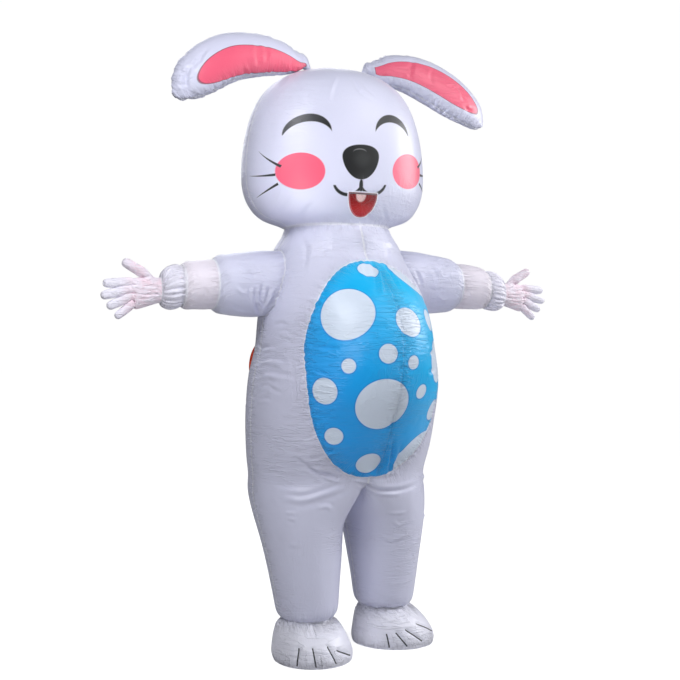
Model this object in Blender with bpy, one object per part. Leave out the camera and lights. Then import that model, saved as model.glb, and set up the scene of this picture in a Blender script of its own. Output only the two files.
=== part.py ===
"""Inflatable rabbit costume: cloth panels as thin walls on one continuous form, in metres, +Z up.

The front faces -Y and the rabbit's right side is at -X. Heights in the tables are above the floor, and the
origin is between the wearer's shoulders, SHOULDER_HEIGHT up.
"""

import math
from collections import namedtuple

import bmesh
import bpy
from mathutils import Matrix, Vector
from mathutils.bvhtree import BVHTree

SHOULDER_HEIGHT = 1.30
CLOTH = 0.0013
SEAM_GAP = 0.0003
ROUNDNESS = 2.15
SHARP_ANGLE = math.radians(50)
# Further than any point of the costume lies from its middle, for rays cast at it from outside.
REACH = 1.0

# Around the head and the body, counted from the centre front towards the rabbit's left.
COLUMNS = 24
SIDE = COLUMNS // 4
CROTCH_COLUMNS = 6
LEG_COLUMNS = COLUMNS // 2 + CROTCH_COLUMNS
CROTCH_DROP = 0.066
CROTCH_FULLNESS = 0.8
# The least that two seams meeting at a corner count for when its point draws back from both.
SHARPEST_CORNER = 0.3

Section = namedtuple("Section", "height across half_width front back")
HEAD = [
    Section(1.878, -0.010, 0.090, 0.070, 0.074),
    Section(1.857, -0.010, 0.158, 0.124, 0.130),
    Section(1.820, -0.010, 0.215, 0.168, 0.176),
    Section(1.770, -0.010, 0.255, 0.197, 0.207),
    Section(1.700, -0.010, 0.284, 0.216, 0.227),
    Section(1.620, -0.010, 0.301, 0.226, 0.237),
    Section(1.540, -0.010, 0.307, 0.228, 0.241),
    Section(1.475, -0.009, 0.301, 0.225, 0.236),
    Section(1.425, -0.008, 0.277, 0.214, 0.222),
    Section(1.388, -0.005, 0.232, 0.196, 0.196),
    Section(1.364, -0.002, 0.170, 0.186, 0.172),
]
CROWN_HEIGHT = 1.885
TORSO = [
    HEAD[-1],
    Section(1.310, 0.000, 0.196, 0.206, 0.192),
    Section(1.260, 0.000, 0.217, 0.226, 0.206),
    Section(1.200, 0.000, 0.234, 0.295, 0.217),
    Section(1.130, 0.000, 0.249, 0.365, 0.228),
    Section(1.050, 0.000, 0.261, 0.412, 0.236),
    Section(0.975, 0.000, 0.268, 0.430, 0.240),
    Section(0.900, 0.000, 0.287, 0.424, 0.247),
    Section(0.820, 0.000, 0.297, 0.398, 0.251),
    Section(0.740, 0.000, 0.301, 0.352, 0.252),
    Section(0.670, 0.000, 0.300, 0.315, 0.248),
    Section(0.610, 0.000, 0.297, 0.268, 0.243),
    Section(0.564, 0.000, 0.293, 0.243, 0.236),
]

LegSection = namedtuple("LegSection", "height apart forward half_width half_depth rounded")
LEG = [
    LegSection(0.520, 0.150, 0.005, 0.147, 0.205, 0.35),
    LegSection(0.470, 0.150, 0.025, 0.141, 0.182, 0.65),
    LegSection(0.415, 0.149, 0.040, 0.134, 0.163, 0.90),
    LegSection(0.350, 0.145, 0.052, 0.126, 0.146, 1.00),
    LegSection(0.280, 0.142, 0.062, 0.116, 0.130, 1.00),
    LegSection(0.215, 0.140, 0.069, 0.107, 0.117, 1.00),
    LegSection(0.165, 0.138, 0.073, 0.101, 0.108, 1.00),
    LegSection(0.137, 0.138, 0.075, 0.094, 0.099, 1.00),
    LegSection(0.120, 0.138, 0.076, 0.079, 0.084, 1.00),
]

# How far each leg's ankle stands further out and further back than the table says.
STANCE = {"right": (0.000, 0.000), "left": (0.030, 0.060)}

FootSection = namedtuple("FootSection", "height ahead half_length half_width")
FOOT = [
    FootSection(0.120, 0.000, 0.083, 0.079),
    FootSection(0.108, 0.004, 0.096, 0.096),
    FootSection(0.084, 0.016, 0.115, 0.111),
    FootSection(0.052, 0.027, 0.131, 0.122),
    FootSection(0.018, 0.032, 0.139, 0.128),
    FootSection(0.000, 0.032, 0.136, 0.124),
]
FOOT_COLUMNS = 30
FOOT_SPLAY = {"right": math.radians(12), "left": math.radians(40)}
FOOT_ASIDE = {"right": -0.014, "left": 0.000}
TOE_CREASE_DEPTH = 0.05
TOE_CREASES = 4

EarSection = namedtuple("EarSection", "out height half_width half_depth")
EAR = {
    "right": [
        EarSection(0.100, 1.889, 0.014, 0.010),
        EarSection(0.112, 1.902, 0.024, 0.016),
        EarSection(0.140, 1.900, 0.042, 0.026),
        EarSection(0.185, 1.907, 0.059, 0.037),
        EarSection(0.240, 1.911, 0.071, 0.046),
        EarSection(0.305, 1.906, 0.079, 0.052),
        EarSection(0.370, 1.892, 0.083, 0.054),
        EarSection(0.430, 1.860, 0.082, 0.052),
        EarSection(0.480, 1.820, 0.074, 0.046),
        EarSection(0.513, 1.787, 0.057, 0.036),
        EarSection(0.533, 1.764, 0.034, 0.021),
    ],
    "left": [
        EarSection(0.100, 1.889, 0.014, 0.010),
        EarSection(0.112, 1.902, 0.024, 0.016),
        EarSection(0.140, 1.898, 0.042, 0.026),
        EarSection(0.185, 1.905, 0.058, 0.037),
        EarSection(0.245, 1.906, 0.070, 0.045),
        EarSection(0.310, 1.894, 0.081, 0.051),
        EarSection(0.375, 1.872, 0.086, 0.053),
        EarSection(0.435, 1.844, 0.085, 0.051),
        EarSection(0.490, 1.813, 0.073, 0.044),
        EarSection(0.528, 1.784, 0.056, 0.034),
        EarSection(0.550, 1.760, 0.032, 0.020),
    ],
}
EAR_TIP = {"right": (0.544, 1.752), "left": (0.561, 1.753)}
EAR_COLUMNS = 14
EAR_LEAN = math.radians(25)
EAR_ROOT_RISE = 0.02
EAR_CLEARANCE = 0.0012

ArmSection = namedtuple("ArmSection", "out forward height half_height half_depth")
ARMHOLE = ArmSection(0.240, 0.000, 1.183, 0.106, 0.093)
ARM_LIFT = {"right": 0.0, "left": 0.024}
# How far the armhole's cutter runs inwards and outwards from the armhole's section.
ARMHOLE_CUT = (-0.11, 0.30)
SLEEVE = [
    ArmSection(0.300, -0.003, 1.178, 0.105, 0.094),
    ArmSection(0.345, 0.002, 1.176, 0.101, 0.097),
    ArmSection(0.385, 0.010, 1.175, 0.096, 0.094),
    ArmSection(0.418, 0.016, 1.174, 0.089, 0.088),
    ArmSection(0.434, 0.020, 1.173, 0.077, 0.077),
]
FORE_SLEEVE = [
    ArmSection(0.434, 0.020, 1.173, 0.0770, 0.0770),
    ArmSection(0.462, 0.026, 1.172, 0.0775, 0.0765),
    ArmSection(0.500, 0.034, 1.170, 0.0755, 0.0740),
    ArmSection(0.528, 0.040, 1.167, 0.0720, 0.0700),
    ArmSection(0.540, 0.043, 1.165, 0.0650, 0.0630),
]
CUFF = [
    ArmSection(0.540, 0.043, 1.165, 0.0630, 0.0610),
    ArmSection(0.556, 0.046, 1.162, 0.0660, 0.0630),
    ArmSection(0.582, 0.051, 1.158, 0.0640, 0.0590),
    ArmSection(0.603, 0.055, 1.153, 0.0520, 0.0430),
    ArmSection(0.612, 0.058, 1.150, 0.0380, 0.0280),
]
SLEEVE_COLUMNS = 18
CUFF_GATHERS = 16
COLUMNS_A_GATHER = 3
CUFF_GATHER_DEPTH = 0.0035

# The spotted belly oval and the vision window, as seen from the front.
BELLY_HEIGHT = 0.911
BELLY_HALF_HEIGHT = 0.337
BELLY_HALF_WIDTH = 0.228
BELLY_SEAM_ACROSS = 0.025
BELLY_POINTS = 36
BELLY_CUT = (-0.60, -0.06)
WINDOW_TOP = 1.458
WINDOW_BOTTOM = 1.384
WINDOW_HALF_WIDTH = 0.050
WINDOW_ACROSS = -0.008
WINDOW_POINTS = 16
WINDOW_CUT = (-0.40, -0.05)

FAN_HEIGHT = 0.930
FAN_TURN = math.radians(90 + 37)
FAN_FLANGE = 0.056
FAN_RADIUS = 0.044
FAN_HUB = 0.015
FAN_BAR = 0.0030
FAN_EDGE = 0.0030
FAN_RIM = 0.0050
FAN_HUB_POINTS = 16
FAN_HOLE_DEPTH = 0.12
FAN_BAR_LOW = 0.0018
FAN_BAR_HIGH = 0.0042
FAN_BAR_HOLD = 0.0015
FAN_HOLE = 0.0566
# The cloth falls away by up to 9 mm round the guard, which reaches past it.
FAN_DEPTH = 0.0105
FAN_SPOKES = 8
FAN_POINTS = 32

ZIP_TOP = 1.330
ZIP_BOTTOM = 0.640
ZIP_HALF_WIDTH = 0.014
ZIP_COIL_HALF_WIDTH = 0.004
ZIP_COIL_RISE = 0.0012
SLIDER_HEIGHT = 1.300
SLIDER_WIDTH = 0.010
SLIDER_LENGTH = 0.013
SLIDER_PLATE = 0.0030
SLIDER_LOOP_WIDTH = 0.0030
SLIDER_LOOP_RISE = 0.0050
SLIDER_LOOP_BAR = 0.0014
SLIDER_LOOP_HALF_LENGTH = 0.0047
PULL_WIDTH = 0.008
PULL_LENGTH = 0.032
PULL_THICKNESS = 0.0016
PULL_EYE_LENGTH = 0.0105
PULL_EYE_MARGIN = 0.0007

GloveRow = namedtuple("GloveRow", "along half_width half_depth drop")
PALM = [
    GloveRow(0.000, 0.0364, 0.0264, 0.000),
    GloveRow(0.024, 0.0400, 0.0230, 0.002),
    GloveRow(0.050, 0.0440, 0.0205, 0.006),
    GloveRow(0.078, 0.0440, 0.0175, 0.012),
]
Finger = namedtuple("Finger", "name root tip half_thickness")
FINGERS = [
    Finger("index", (0.094, 0.022), (0.170, 0.017), 0.0108),
    Finger("middle", (0.096, 0.001), (0.176, -0.020), 0.0110),
    Finger("ring", (0.090, -0.020), (0.158, -0.052), 0.0105),
    Finger("little", (0.082, -0.040), (0.134, -0.082), 0.0095),
]
THUMB = Finger("thumb", (0.052, 0.050), (0.112, 0.084), 0.0115)
FINGER_RINGS = ((0.0, 1.0), (0.55, 0.98), (1.0, 0.66))
GLOVE_START = 0.609
# Smoothing draws the glove's cage in by this factor.
GLOVE_SHRINK = 0.9515
PALM_EDGE_ANGLE = math.radians(18)
GLOVE_ROUGHNESS = 0.7
METAL_ROUGHNESS = 0.35
METALLIC = 0.8

WHITE = (0.74, 0.75, 0.86)
GLOVE_WHITE = (0.86, 0.80, 0.83)
BLUE = (0.03, 0.33, 0.82)
RED = (0.56, 0.02, 0.01)
ORANGE = (0.85, 0.12, 0.03)
ZIP_GREY = (0.55, 0.56, 0.60)


def at_height(height):
    return height - SHOULDER_HEIGHT


def material(name, colour, roughness=0.45, metallic=0.0):
    made = bpy.data.materials.new(name)
    made.use_nodes = True
    shader = made.node_tree.nodes["Principled BSDF"]
    shader.inputs["Base Color"].default_value = (*colour, 1.0)
    shader.inputs["Roughness"].default_value = roughness
    shader.inputs["Metallic"].default_value = metallic
    return made


def add_object(name, mesh, colour, roughness=0.45, metallic=0.0):
    made = bpy.data.objects.new(name, mesh)
    bpy.context.scene.collection.objects.link(made)
    mesh.materials.append(material(name, colour, roughness, metallic))
    mesh.shade_smooth()
    mesh.set_sharp_from_angle(angle=SHARP_ANGLE)
    return made


def mesh_from(name, bm):
    mesh = bpy.data.meshes.new(name)
    bm.to_mesh(mesh)
    bm.free()
    return mesh


def as_cutter(cutter):
    cutter.hide_render = True
    cutter.display_type = "WIRE"
    return cutter


def add_boolean(target, cutter, operation="DIFFERENCE"):
    modifier = target.modifiers.new(operation.title(), "BOOLEAN")
    modifier.operation = operation
    modifier.solver = "EXACT"
    modifier.object = cutter


def powered(value, exponent):
    return math.copysign(abs(value) ** exponent, value)


def section_point(section, turn):
    """A point on a section's outline, turned from the centre front towards +X."""
    depth = section.front if math.cos(turn) > 0 else section.back
    return Vector((
        section.across + section.half_width * powered(math.sin(turn), 2 / ROUNDNESS),
        -depth * powered(math.cos(turn), 2 / ROUNDNESS),
        at_height(section.height),
    ))


def leg_turn(column):
    """The turn of a leg's column: the outer ones follow the body's, the inner ones go on round the leg."""
    step = 2 * math.pi / LEG_COLUMNS
    return (column - COLUMNS // 4) * step + math.pi / 2


def leg_centre(section, hand, side):
    """The middle of a leg's section, moved by the stance in proportion to how far down the leg it is."""
    out, back = STANCE[hand]
    down = (TORSO[-1].height - section.height) / (TORSO[-1].height - LEG[-1].height)
    return Vector((
        side * (section.apart + out * down),
        back * down - section.forward,
        at_height(section.height),
    ))


def crotch_point(column, torso_end):
    """A point of the curve that hangs from the back to the front between the legs."""
    share = (column - COLUMNS // 2) / CROTCH_COLUMNS
    y = torso_end.back + (-torso_end.front - torso_end.back) * share
    drop = CROTCH_DROP * math.sin(math.pi * share) ** CROTCH_FULLNESS
    return Vector((0.0, y, at_height(torso_end.height) - drop))


def skin_ring(bm, points):
    return [bm.verts.new(point) for point in points]


def bridge(bm, panel_layer, upper, lower, panel_of):
    """Quads between two closed rings, with the panel's number on each. Rings run so that faces look out."""
    count = len(upper)
    for k in range(count):
        after = (k + 1) % count
        face = bm.faces.new((upper[k], lower[k], lower[after], upper[after]))
        face[panel_layer] = panel_of(k)


PANELS = [
    "head_front", "head_back",
    "body_front_right", "body_front_left", "body_back_right", "body_back_left",
]


def build_skin():
    """The whole outer skin of head, body and legs as one surface, with a panel number on each face."""
    bm = bmesh.new()
    panel = bm.faces.layers.int.new("panel")
    turns = [2 * math.pi * k / COLUMNS for k in range(COLUMNS)]

    def head_panel(k):
        is_front = k < SIDE or k >= COLUMNS - SIDE
        return PANELS.index("head_front" if is_front else "head_back")

    def body_panel(k):
        depth = "front" if k < SIDE or k >= COLUMNS - SIDE else "back"
        hand = "left" if k < COLUMNS // 2 else "right"
        return PANELS.index(f"body_{depth}_{hand}")

    rings = [
        skin_ring(bm, [section_point(section, turn) for turn in turns])
        for section in HEAD
    ]
    crown = bm.verts.new((HEAD[0].across, 0.0, at_height(CROWN_HEIGHT)))
    for k in range(COLUMNS):
        face = bm.faces.new((crown, rings[0][k], rings[0][(k + 1) % COLUMNS]))
        face[panel] = head_panel(k)
    for upper, lower in zip(rings, rings[1:]):
        bridge(bm, panel, upper, lower, head_panel)

    upper = rings[-1]
    for section in TORSO[1:]:
        lower = skin_ring(bm, [section_point(section, turn) for turn in turns])
        bridge(bm, panel, upper, lower, body_panel)
        upper = lower

    torso_end = TORSO[-1]
    crotch = skin_ring(bm, [
        crotch_point(COLUMNS // 2 + k, torso_end) for k in range(1, CROTCH_COLUMNS)
    ])
    for hand, side in (("left", 1), ("right", -1)):
        outer = [upper[(side * k) % COLUMNS] for k in range(COLUMNS // 2 + 1)]
        ring = outer + crotch
        start = [vertex.co.copy() for vertex in ring]

        def leg_panel(k, hand=hand):
            inner_front = COLUMNS // 2 + CROTCH_COLUMNS // 2
            depth = "front" if k < SIDE or k >= inner_front else "back"
            return PANELS.index(f"body_{depth}_{hand}")

        for section in LEG:
            points = []
            centre = leg_centre(section, hand, side)
            for k, first in enumerate(start):
                turn = leg_turn(k)
                lowered = first + Vector((0, 0, section.height - torso_end.height))
                rounded = centre + Vector((
                    side * section.half_width * math.sin(turn),
                    -section.half_depth * math.cos(turn),
                    0,
                ))
                points.append(lowered.lerp(rounded, section.rounded))
            lower = skin_ring(bm, points)
            if side > 0:
                bridge(bm, panel, ring, lower, leg_panel)
            else:
                mirrored = lambda k, n=len(ring), at=leg_panel: at((n - 2 - k) % n)
                bridge(bm, panel, ring[::-1], lower[::-1], mirrored)
            ring = lower
    bm.normal_update()
    return bm


def seam_shift(vertex, faces):
    """How far a panel's edge vertex draws back from its seams, within the panel's own surface."""
    inward = []
    for edge in vertex.link_edges:
        own = [face for face in edge.link_faces if face in faces]
        if len(own) == 1:
            along = (edge.verts[0].co - edge.verts[1].co).normalized()
            direction = own[0].normal.cross(along)
            if direction.dot(own[0].calc_center_median() - vertex.co) < 0:
                direction.negate()
            inward.append(direction)
    if not inward:
        return Vector((0, 0, 0))
    total = sum(inward, Vector((0, 0, 0)))
    if len(inward) > 1:
        total /= max(1 + inward[0].dot(inward[1]), SHARPEST_CORNER)
    return total * SEAM_GAP / 2


def cloth_wall(faces):
    """A closed wall of cloth thickness behind some faces of a surface, drawn back at their seams."""
    chosen = set(faces)
    wall = bmesh.new()
    outer, inner = {}, {}
    for face in faces:
        for vertex in face.verts:
            if vertex in outer:
                continue
            place = vertex.co + seam_shift(vertex, chosen)
            outer[vertex] = wall.verts.new(place)
            inner[vertex] = wall.verts.new(place - vertex.normal * CLOTH)
    for face in faces:
        wall.faces.new([outer[v] for v in face.verts])
        wall.faces.new([inner[v] for v in reversed(face.verts)])
        for loop in face.loops:
            edge = loop.edge
            if sum(other in chosen for other in edge.link_faces) == 1:
                a, b = loop.vert, loop.link_loop_next.vert
                wall.faces.new((outer[b], outer[a], inner[a], inner[b]))
    bmesh.ops.triangulate(wall, faces=wall.faces[:], quad_method="SHORT_EDGE")
    return wall


def add_panel(name, surface, numbers, colour=WHITE):
    layer = surface.faces.layers.int["panel"]
    faces = [face for face in surface.faces if face[layer] in numbers]
    return add_object(name, mesh_from(name, cloth_wall(faces)), colour)


def oval(centre, half_width, half_height, count, start=0.0, end=2 * math.pi):
    """Points of a squarish oval in the front view, anticlockwise from its right end."""
    points = []
    for k in range(count):
        angle = start + (end - start) * k / count
        points.append((
            centre[0] + half_width * powered(math.cos(angle), 2 / ROUNDNESS),
            centre[1] + half_height * powered(math.sin(angle), 2 / ROUNDNESS),
        ))
    return points


def prism(name, points, y_front, y_back):
    """A cutter with a front-view outline, from y_front back to y_back."""
    bm = bmesh.new()
    front = [bm.verts.new((x, y_front, z)) for x, z in points]
    back = [bm.verts.new((x, y_back, z)) for x, z in points]
    bm.faces.new(front)
    bm.faces.new(back[::-1])
    for k in range(len(points)):
        after = (k + 1) % len(points)
        bm.faces.new((front[after], front[k], back[k], back[after]))
    bmesh.ops.recalc_face_normals(bm, faces=bm.faces[:])
    return as_cutter(add_object(name, mesh_from(name, bm), WHITE))


def belly_outline(grow):
    centre = (0.0, at_height(BELLY_HEIGHT))
    return oval(centre, BELLY_HALF_WIDTH + grow, BELLY_HALF_HEIGHT + grow, BELLY_POINTS)


def belly_half(outline, side):
    """The part of the outline on one side of the belly's own seam."""
    seam = BELLY_SEAM_ACROSS + side * SEAM_GAP / 2
    points = []
    for k, (x, z) in enumerate(outline):
        x_next, z_next = outline[(k + 1) % len(outline)]
        if side * (x - seam) > 0:
            points.append((x, z))
        if (x - seam) * (x_next - seam) < 0:
            share = (seam - x) / (x_next - x)
            points.append((seam, z + share * (z_next - z)))
    return points


def window_outline(grow):
    """A wide mouth: straight along the top, rounded below."""
    half_width = WINDOW_HALF_WIDTH + grow
    depth = WINDOW_TOP - WINDOW_BOTTOM + 2 * grow
    top = at_height(WINDOW_TOP) + grow
    below = oval((WINDOW_ACROSS, top), half_width, depth, WINDOW_POINTS, math.pi, 2 * math.pi)
    return below + [(WINDOW_ACROSS + half_width, top)]


def add_belly(skin):
    """Cuts the oval out of both front panels, and fills it with its two halves."""
    layer = skin.faces.layers.int["panel"]
    fronts = {PANELS.index("body_front_right"), PANELS.index("body_front_left")}
    faces = [face for face in skin.faces if face[layer] in fronts]
    hole = prism("belly_hole_cutter", belly_outline(SEAM_GAP / 2), *BELLY_CUT)
    for name in ("body_front_right", "body_front_left"):
        add_boolean(bpy.data.objects[name], hole)
    outline = belly_outline(-SEAM_GAP / 2)
    for hand, side in (("right", -1), ("left", 1)):
        name = f"belly_{hand}"
        half = add_object(name, mesh_from(name, cloth_wall(faces)), BLUE)
        cutter = prism(f"{name}_cutter", belly_half(outline, side), *BELLY_CUT)
        add_boolean(half, cutter, "INTERSECT")


def add_window(skin):
    """Cuts the mouth out of the face, and fills it with see-through film."""
    hole = prism("window_hole_cutter", window_outline(SEAM_GAP / 2), *WINDOW_CUT)
    add_boolean(bpy.data.objects["head_front"], hole)
    window = add_panel("vision_window", skin, {PANELS.index("head_front")}, RED)
    cutter = prism("window_cutter", window_outline(-SEAM_GAP / 2), *WINDOW_CUT)
    add_boolean(window, cutter, "INTERSECT")


def arm_height(height, out, side):
    """A height on an arm; the left arm is held a little higher, most of all at the shoulder."""
    lift = ARM_LIFT["left" if side > 0 else "right"]
    return at_height(height) + lift * (1 - out)


def arm_ring_point(section, side, angle, grow=0.0):
    return Vector((
        side * section.out,
        -section.forward - (section.half_depth + grow) * math.sin(angle),
        arm_height(section.height, section.out, side) + (section.half_height + grow) * math.cos(angle),
    ))


def tube_surface(rings):
    """A surface of closed rings, with normals facing out of it."""
    bm = bmesh.new()
    bm.faces.layers.int.new("panel")
    made = [skin_ring(bm, ring) for ring in rings]
    for upper, lower in zip(made, made[1:]):
        for k in range(len(upper)):
            after = (k + 1) % len(upper)
            bm.faces.new((upper[k], lower[k], lower[after], upper[after]))
    return bm


def face_outwards(bm, side):
    """Turns the faces round on the side where the rings run the other way."""
    if side > 0:
        bmesh.ops.reverse_faces(bm, faces=bm.faces[:])
    bm.normal_update()


def angles(count):
    return [2 * math.pi * k / count for k in range(count)]


def add_sleeve(skin_tree, hand, side):
    """The upper sleeve, from the armhole's edge on the body's own surface to its narrow end."""
    start = []
    for angle in angles(SLEEVE_COLUMNS):
        point = arm_ring_point(ARMHOLE, side, angle, grow=-SEAM_GAP / 2)
        hit = skin_tree.ray_cast(Vector((side * REACH, point.y, point.z)), Vector((-side, 0, 0)))[0]
        start.append(hit)
    rings = [start] + [
        [arm_ring_point(section, side, angle) for angle in angles(SLEEVE_COLUMNS)]
        for section in SLEEVE
    ]
    surface = tube_surface(rings)
    face_outwards(surface, side)
    add_panel(f"sleeve_{hand}", surface, {0})
    surface.free()


def armhole_cutter(hand, side):
    bm = bmesh.new()
    near, far = (
        skin_ring(bm, [
            arm_ring_point(ARMHOLE, side, angle, grow=SEAM_GAP / 2) + Vector((side * x, 0, 0))
            for angle in angles(SLEEVE_COLUMNS)
        ])
        for x in ARMHOLE_CUT
    )
    bm.faces.new(near)
    bm.faces.new(far[::-1])
    for k in range(SLEEVE_COLUMNS):
        after = (k + 1) % SLEEVE_COLUMNS
        bm.faces.new((near[after], near[k], far[k], far[after]))
    bmesh.ops.recalc_face_normals(bm, faces=bm.faces[:])
    name = f"armhole_{hand}_cutter"
    return as_cutter(add_object(name, mesh_from(name, bm), WHITE))


def add_fore_sleeve(hand, side):
    rings = [
        [arm_ring_point(section, side, angle) for angle in angles(SLEEVE_COLUMNS)]
        for section in FORE_SLEEVE
    ]
    surface = tube_surface(rings)
    face_outwards(surface, side)
    add_panel(f"fore_sleeve_{hand}", surface, {0})
    surface.free()


def add_cuff(hand, side):
    """The cuff's elastic ends are plain, and its gathers are deepest between them."""
    count = CUFF_GATHERS * COLUMNS_A_GATHER
    rings = []
    for number, section in enumerate(CUFF):
        fullness = math.sin(math.pi * number / (len(CUFF) - 1))
        ring = []
        for k, angle in enumerate(angles(count)):
            wave = fullness * CUFF_GATHER_DEPTH * math.cos(2 * math.pi * k / COLUMNS_A_GATHER)
            ring.append(arm_ring_point(section, side, angle, grow=wave))
        rings.append(ring)
    surface = tube_surface(rings)
    face_outwards(surface, side)
    add_panel(f"cuff_{hand}", surface, {0})
    surface.free()


def add_foot(hand, side):
    """A wide paw cover, open underneath, with creases between its toes."""
    splay = FOOT_SPLAY[hand]
    ankle = leg_centre(LEG[-1], hand, side)
    heading = Vector((side * math.sin(splay), -math.cos(splay), 0))
    across = Vector((heading.y, -heading.x, 0))
    crease_columns = {
        (2 * j + 1 - TOE_CREASES) % FOOT_COLUMNS for j in range(TOE_CREASES)
    }
    rings = []
    for section in FOOT:
        low = 1 - section.height / FOOT[0].height
        centre = Vector((ankle.x, ankle.y, at_height(section.height)))
        centre += heading * section.ahead + Vector((side * FOOT_ASIDE[hand] * low, 0, 0))
        ring = []
        for k, angle in enumerate(angles(FOOT_COLUMNS)):
            reach = 1 - (TOE_CREASE_DEPTH * low if k in crease_columns else 0)
            ahead = section.half_length * math.cos(angle) * reach
            aside = section.half_width * math.sin(angle) * reach
            ring.append(centre + heading * ahead + across * aside)
        rings.append(ring)
    surface = tube_surface(rings)
    surface.normal_update()
    outward = sum(face.normal.dot(face.calc_center_median() - centre) for face in surface.faces)
    if outward < 0:
        bmesh.ops.reverse_faces(surface, faces=surface.faces[:])
        surface.normal_update()
    add_panel(f"foot_{hand}", surface, {0})
    surface.free()


def add_ear(skin_tree, hand, side):
    """A drooping air-filled ear of two panels, pinched where it is sewn to the top of the head."""
    table = EAR[hand]
    centres = [Vector((side * s.out, 0, at_height(s.height))) for s in table]
    tip = Vector((side * EAR_TIP[hand][0], 0, at_height(EAR_TIP[hand][1])))
    rings = []
    for number, section in enumerate(table):
        before = centres[number - 1] if number else centres[0] - Vector((0, 0, EAR_ROOT_RISE))
        after = centres[number + 1] if number + 1 < len(table) else tip
        along = (after - before).normalized()
        upright = Vector((-side * along.z, 0, side * along.x))
        lean = Matrix.Rotation(-side * EAR_LEAN, 3, along)
        wide = lean @ upright
        deep = along.cross(wide)
        ring = []
        for angle in angles(EAR_COLUMNS):
            point = (
                centres[number]
                + wide * section.half_width * math.cos(angle)
                + deep * section.half_depth * math.sin(angle)
            )
            hit = skin_tree.ray_cast(point + Vector((0, 0, REACH)), Vector((0, 0, -1)))[0]
            if hit and number == 0:
                point.z = hit.z + SEAM_GAP
            elif hit:
                point.z = max(point.z, hit.z + EAR_CLEARANCE)
            ring.append(point)
        rings.append(ring)
    surface = tube_surface(rings)
    surface.verts.ensure_lookup_table()
    last = surface.verts[-EAR_COLUMNS:]
    end = surface.verts.new(tip)
    for k in range(EAR_COLUMNS):
        surface.faces.new((last[k], end, last[(k + 1) % EAR_COLUMNS]))
    bmesh.ops.recalc_face_normals(surface, faces=surface.faces[:])
    surface.normal_update()
    layer = surface.faces.layers.int["panel"]
    for number, face in enumerate(surface.faces):
        face[layer] = number % EAR_COLUMNS
    half = EAR_COLUMNS // 2
    front_first = rings[4][EAR_COLUMNS // 4].y < rings[4][-EAR_COLUMNS // 4].y
    front = set(range(half)) if front_first else set(range(half, EAR_COLUMNS))
    add_panel(f"ear_{hand}_front", surface, front)
    add_panel(f"ear_{hand}_back", surface, set(range(EAR_COLUMNS)) - front)
    surface.free()


def glove_cage(side):
    """A coarse hand whose faces are later smoothed: four columns of palm, four fingers and a thumb."""
    bm = bmesh.new()
    wrist = CUFF[-1]
    columns = len(FINGERS)

    def place(along, upward, depth):
        return Vector((
            side * (GLOVE_START + along),
            -wrist.forward - depth,
            arm_height(wrist.height, wrist.out, side) + upward,
        ))

    fronts, backs = [], []
    for row in PALM:
        front_row, back_row = [], []
        for k in range(columns + 1):
            angle = PALM_EDGE_ANGLE + (math.pi - 2 * PALM_EDGE_ANGLE) * k / columns
            upward = row.half_width * math.cos(angle) / GLOVE_SHRINK - row.drop
            depth = row.half_depth * math.sin(angle) / GLOVE_SHRINK
            front_row.append(bm.verts.new(place(row.along, upward, depth)))
            back_row.append(bm.verts.new(place(row.along, upward, -depth)))
        fronts.append(front_row)
        backs.append(back_row)
    for j in range(len(PALM) - 1):
        for k in range(columns):
            bm.faces.new((fronts[j][k], fronts[j + 1][k], fronts[j + 1][k + 1], fronts[j][k + 1]))
            bm.faces.new((backs[j][k], backs[j][k + 1], backs[j + 1][k + 1], backs[j + 1][k]))
        bm.faces.new((fronts[j][-1], fronts[j + 1][-1], backs[j + 1][-1], backs[j][-1]))
        if j != 1:
            bm.faces.new((fronts[j][0], backs[j][0], backs[j + 1][0], fronts[j + 1][0]))

    def grow_finger(finger, root_ring):
        """Rings from the root to the tip, each turned across the finger, and a cap."""
        root, tip = Vector(finger.root), Vector(finger.tip)
        line = (tip - root).normalized()
        across = Vector((-line.y, line.x))
        ring = root_ring
        for share, scale in FINGER_RINGS:
            middle = root.lerp(tip, share)
            half = finger.half_thickness * scale
            corners = []
            for up, out in ((1, 1), (-1, 1), (-1, -1), (1, -1)):
                spot = middle + across * half * up
                corners.append(bm.verts.new(place(spot.x, spot.y, out * half)))
            for k in range(4):
                after = (k + 1) % 4
                bm.faces.new((ring[k], corners[k], corners[after], ring[after]))
            ring = corners
        bm.faces.new(ring)

    end_front, end_back = fronts[-1], backs[-1]
    for k, finger in enumerate(FINGERS):
        grow_finger(finger, [end_front[k], end_front[k + 1], end_back[k + 1], end_back[k]])
    grow_finger(THUMB, [fronts[1][0], fronts[2][0], backs[2][0], backs[1][0]])
    bmesh.ops.recalc_face_normals(bm, faces=bm.faces[:])
    return bm


def add_glove(hand, side):
    name = f"glove_{hand}"
    glove = add_object(name, mesh_from(name, glove_cage(side)), GLOVE_WHITE, GLOVE_ROUGHNESS)
    smooth = glove.modifiers.new("Smooth", "SUBSURF")
    smooth.levels = 1
    smooth.render_levels = 1
    wall = glove.modifiers.new("Wall", "SOLIDIFY")
    wall.thickness = CLOTH
    wall.offset = -1


def box(name, low, high, colour=ZIP_GREY):
    bm = bmesh.new()
    bmesh.ops.create_cube(bm, size=1.0)
    size = Vector(high) - Vector(low)
    middle = (Vector(high) + Vector(low)) / 2
    for vertex in bm.verts:
        vertex.co = Vector(a * b for a, b in zip(vertex.co, size)) + middle
    return add_object(name, mesh_from(name, bm), colour, METAL_ROUGHNESS, METALLIC)


def surface_behind(skin_tree, x, height):
    """The outer face of the back at a place on it."""
    return skin_tree.ray_cast(Vector((x, REACH, at_height(height))), Vector((0, -1, 0)))[0]


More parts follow.
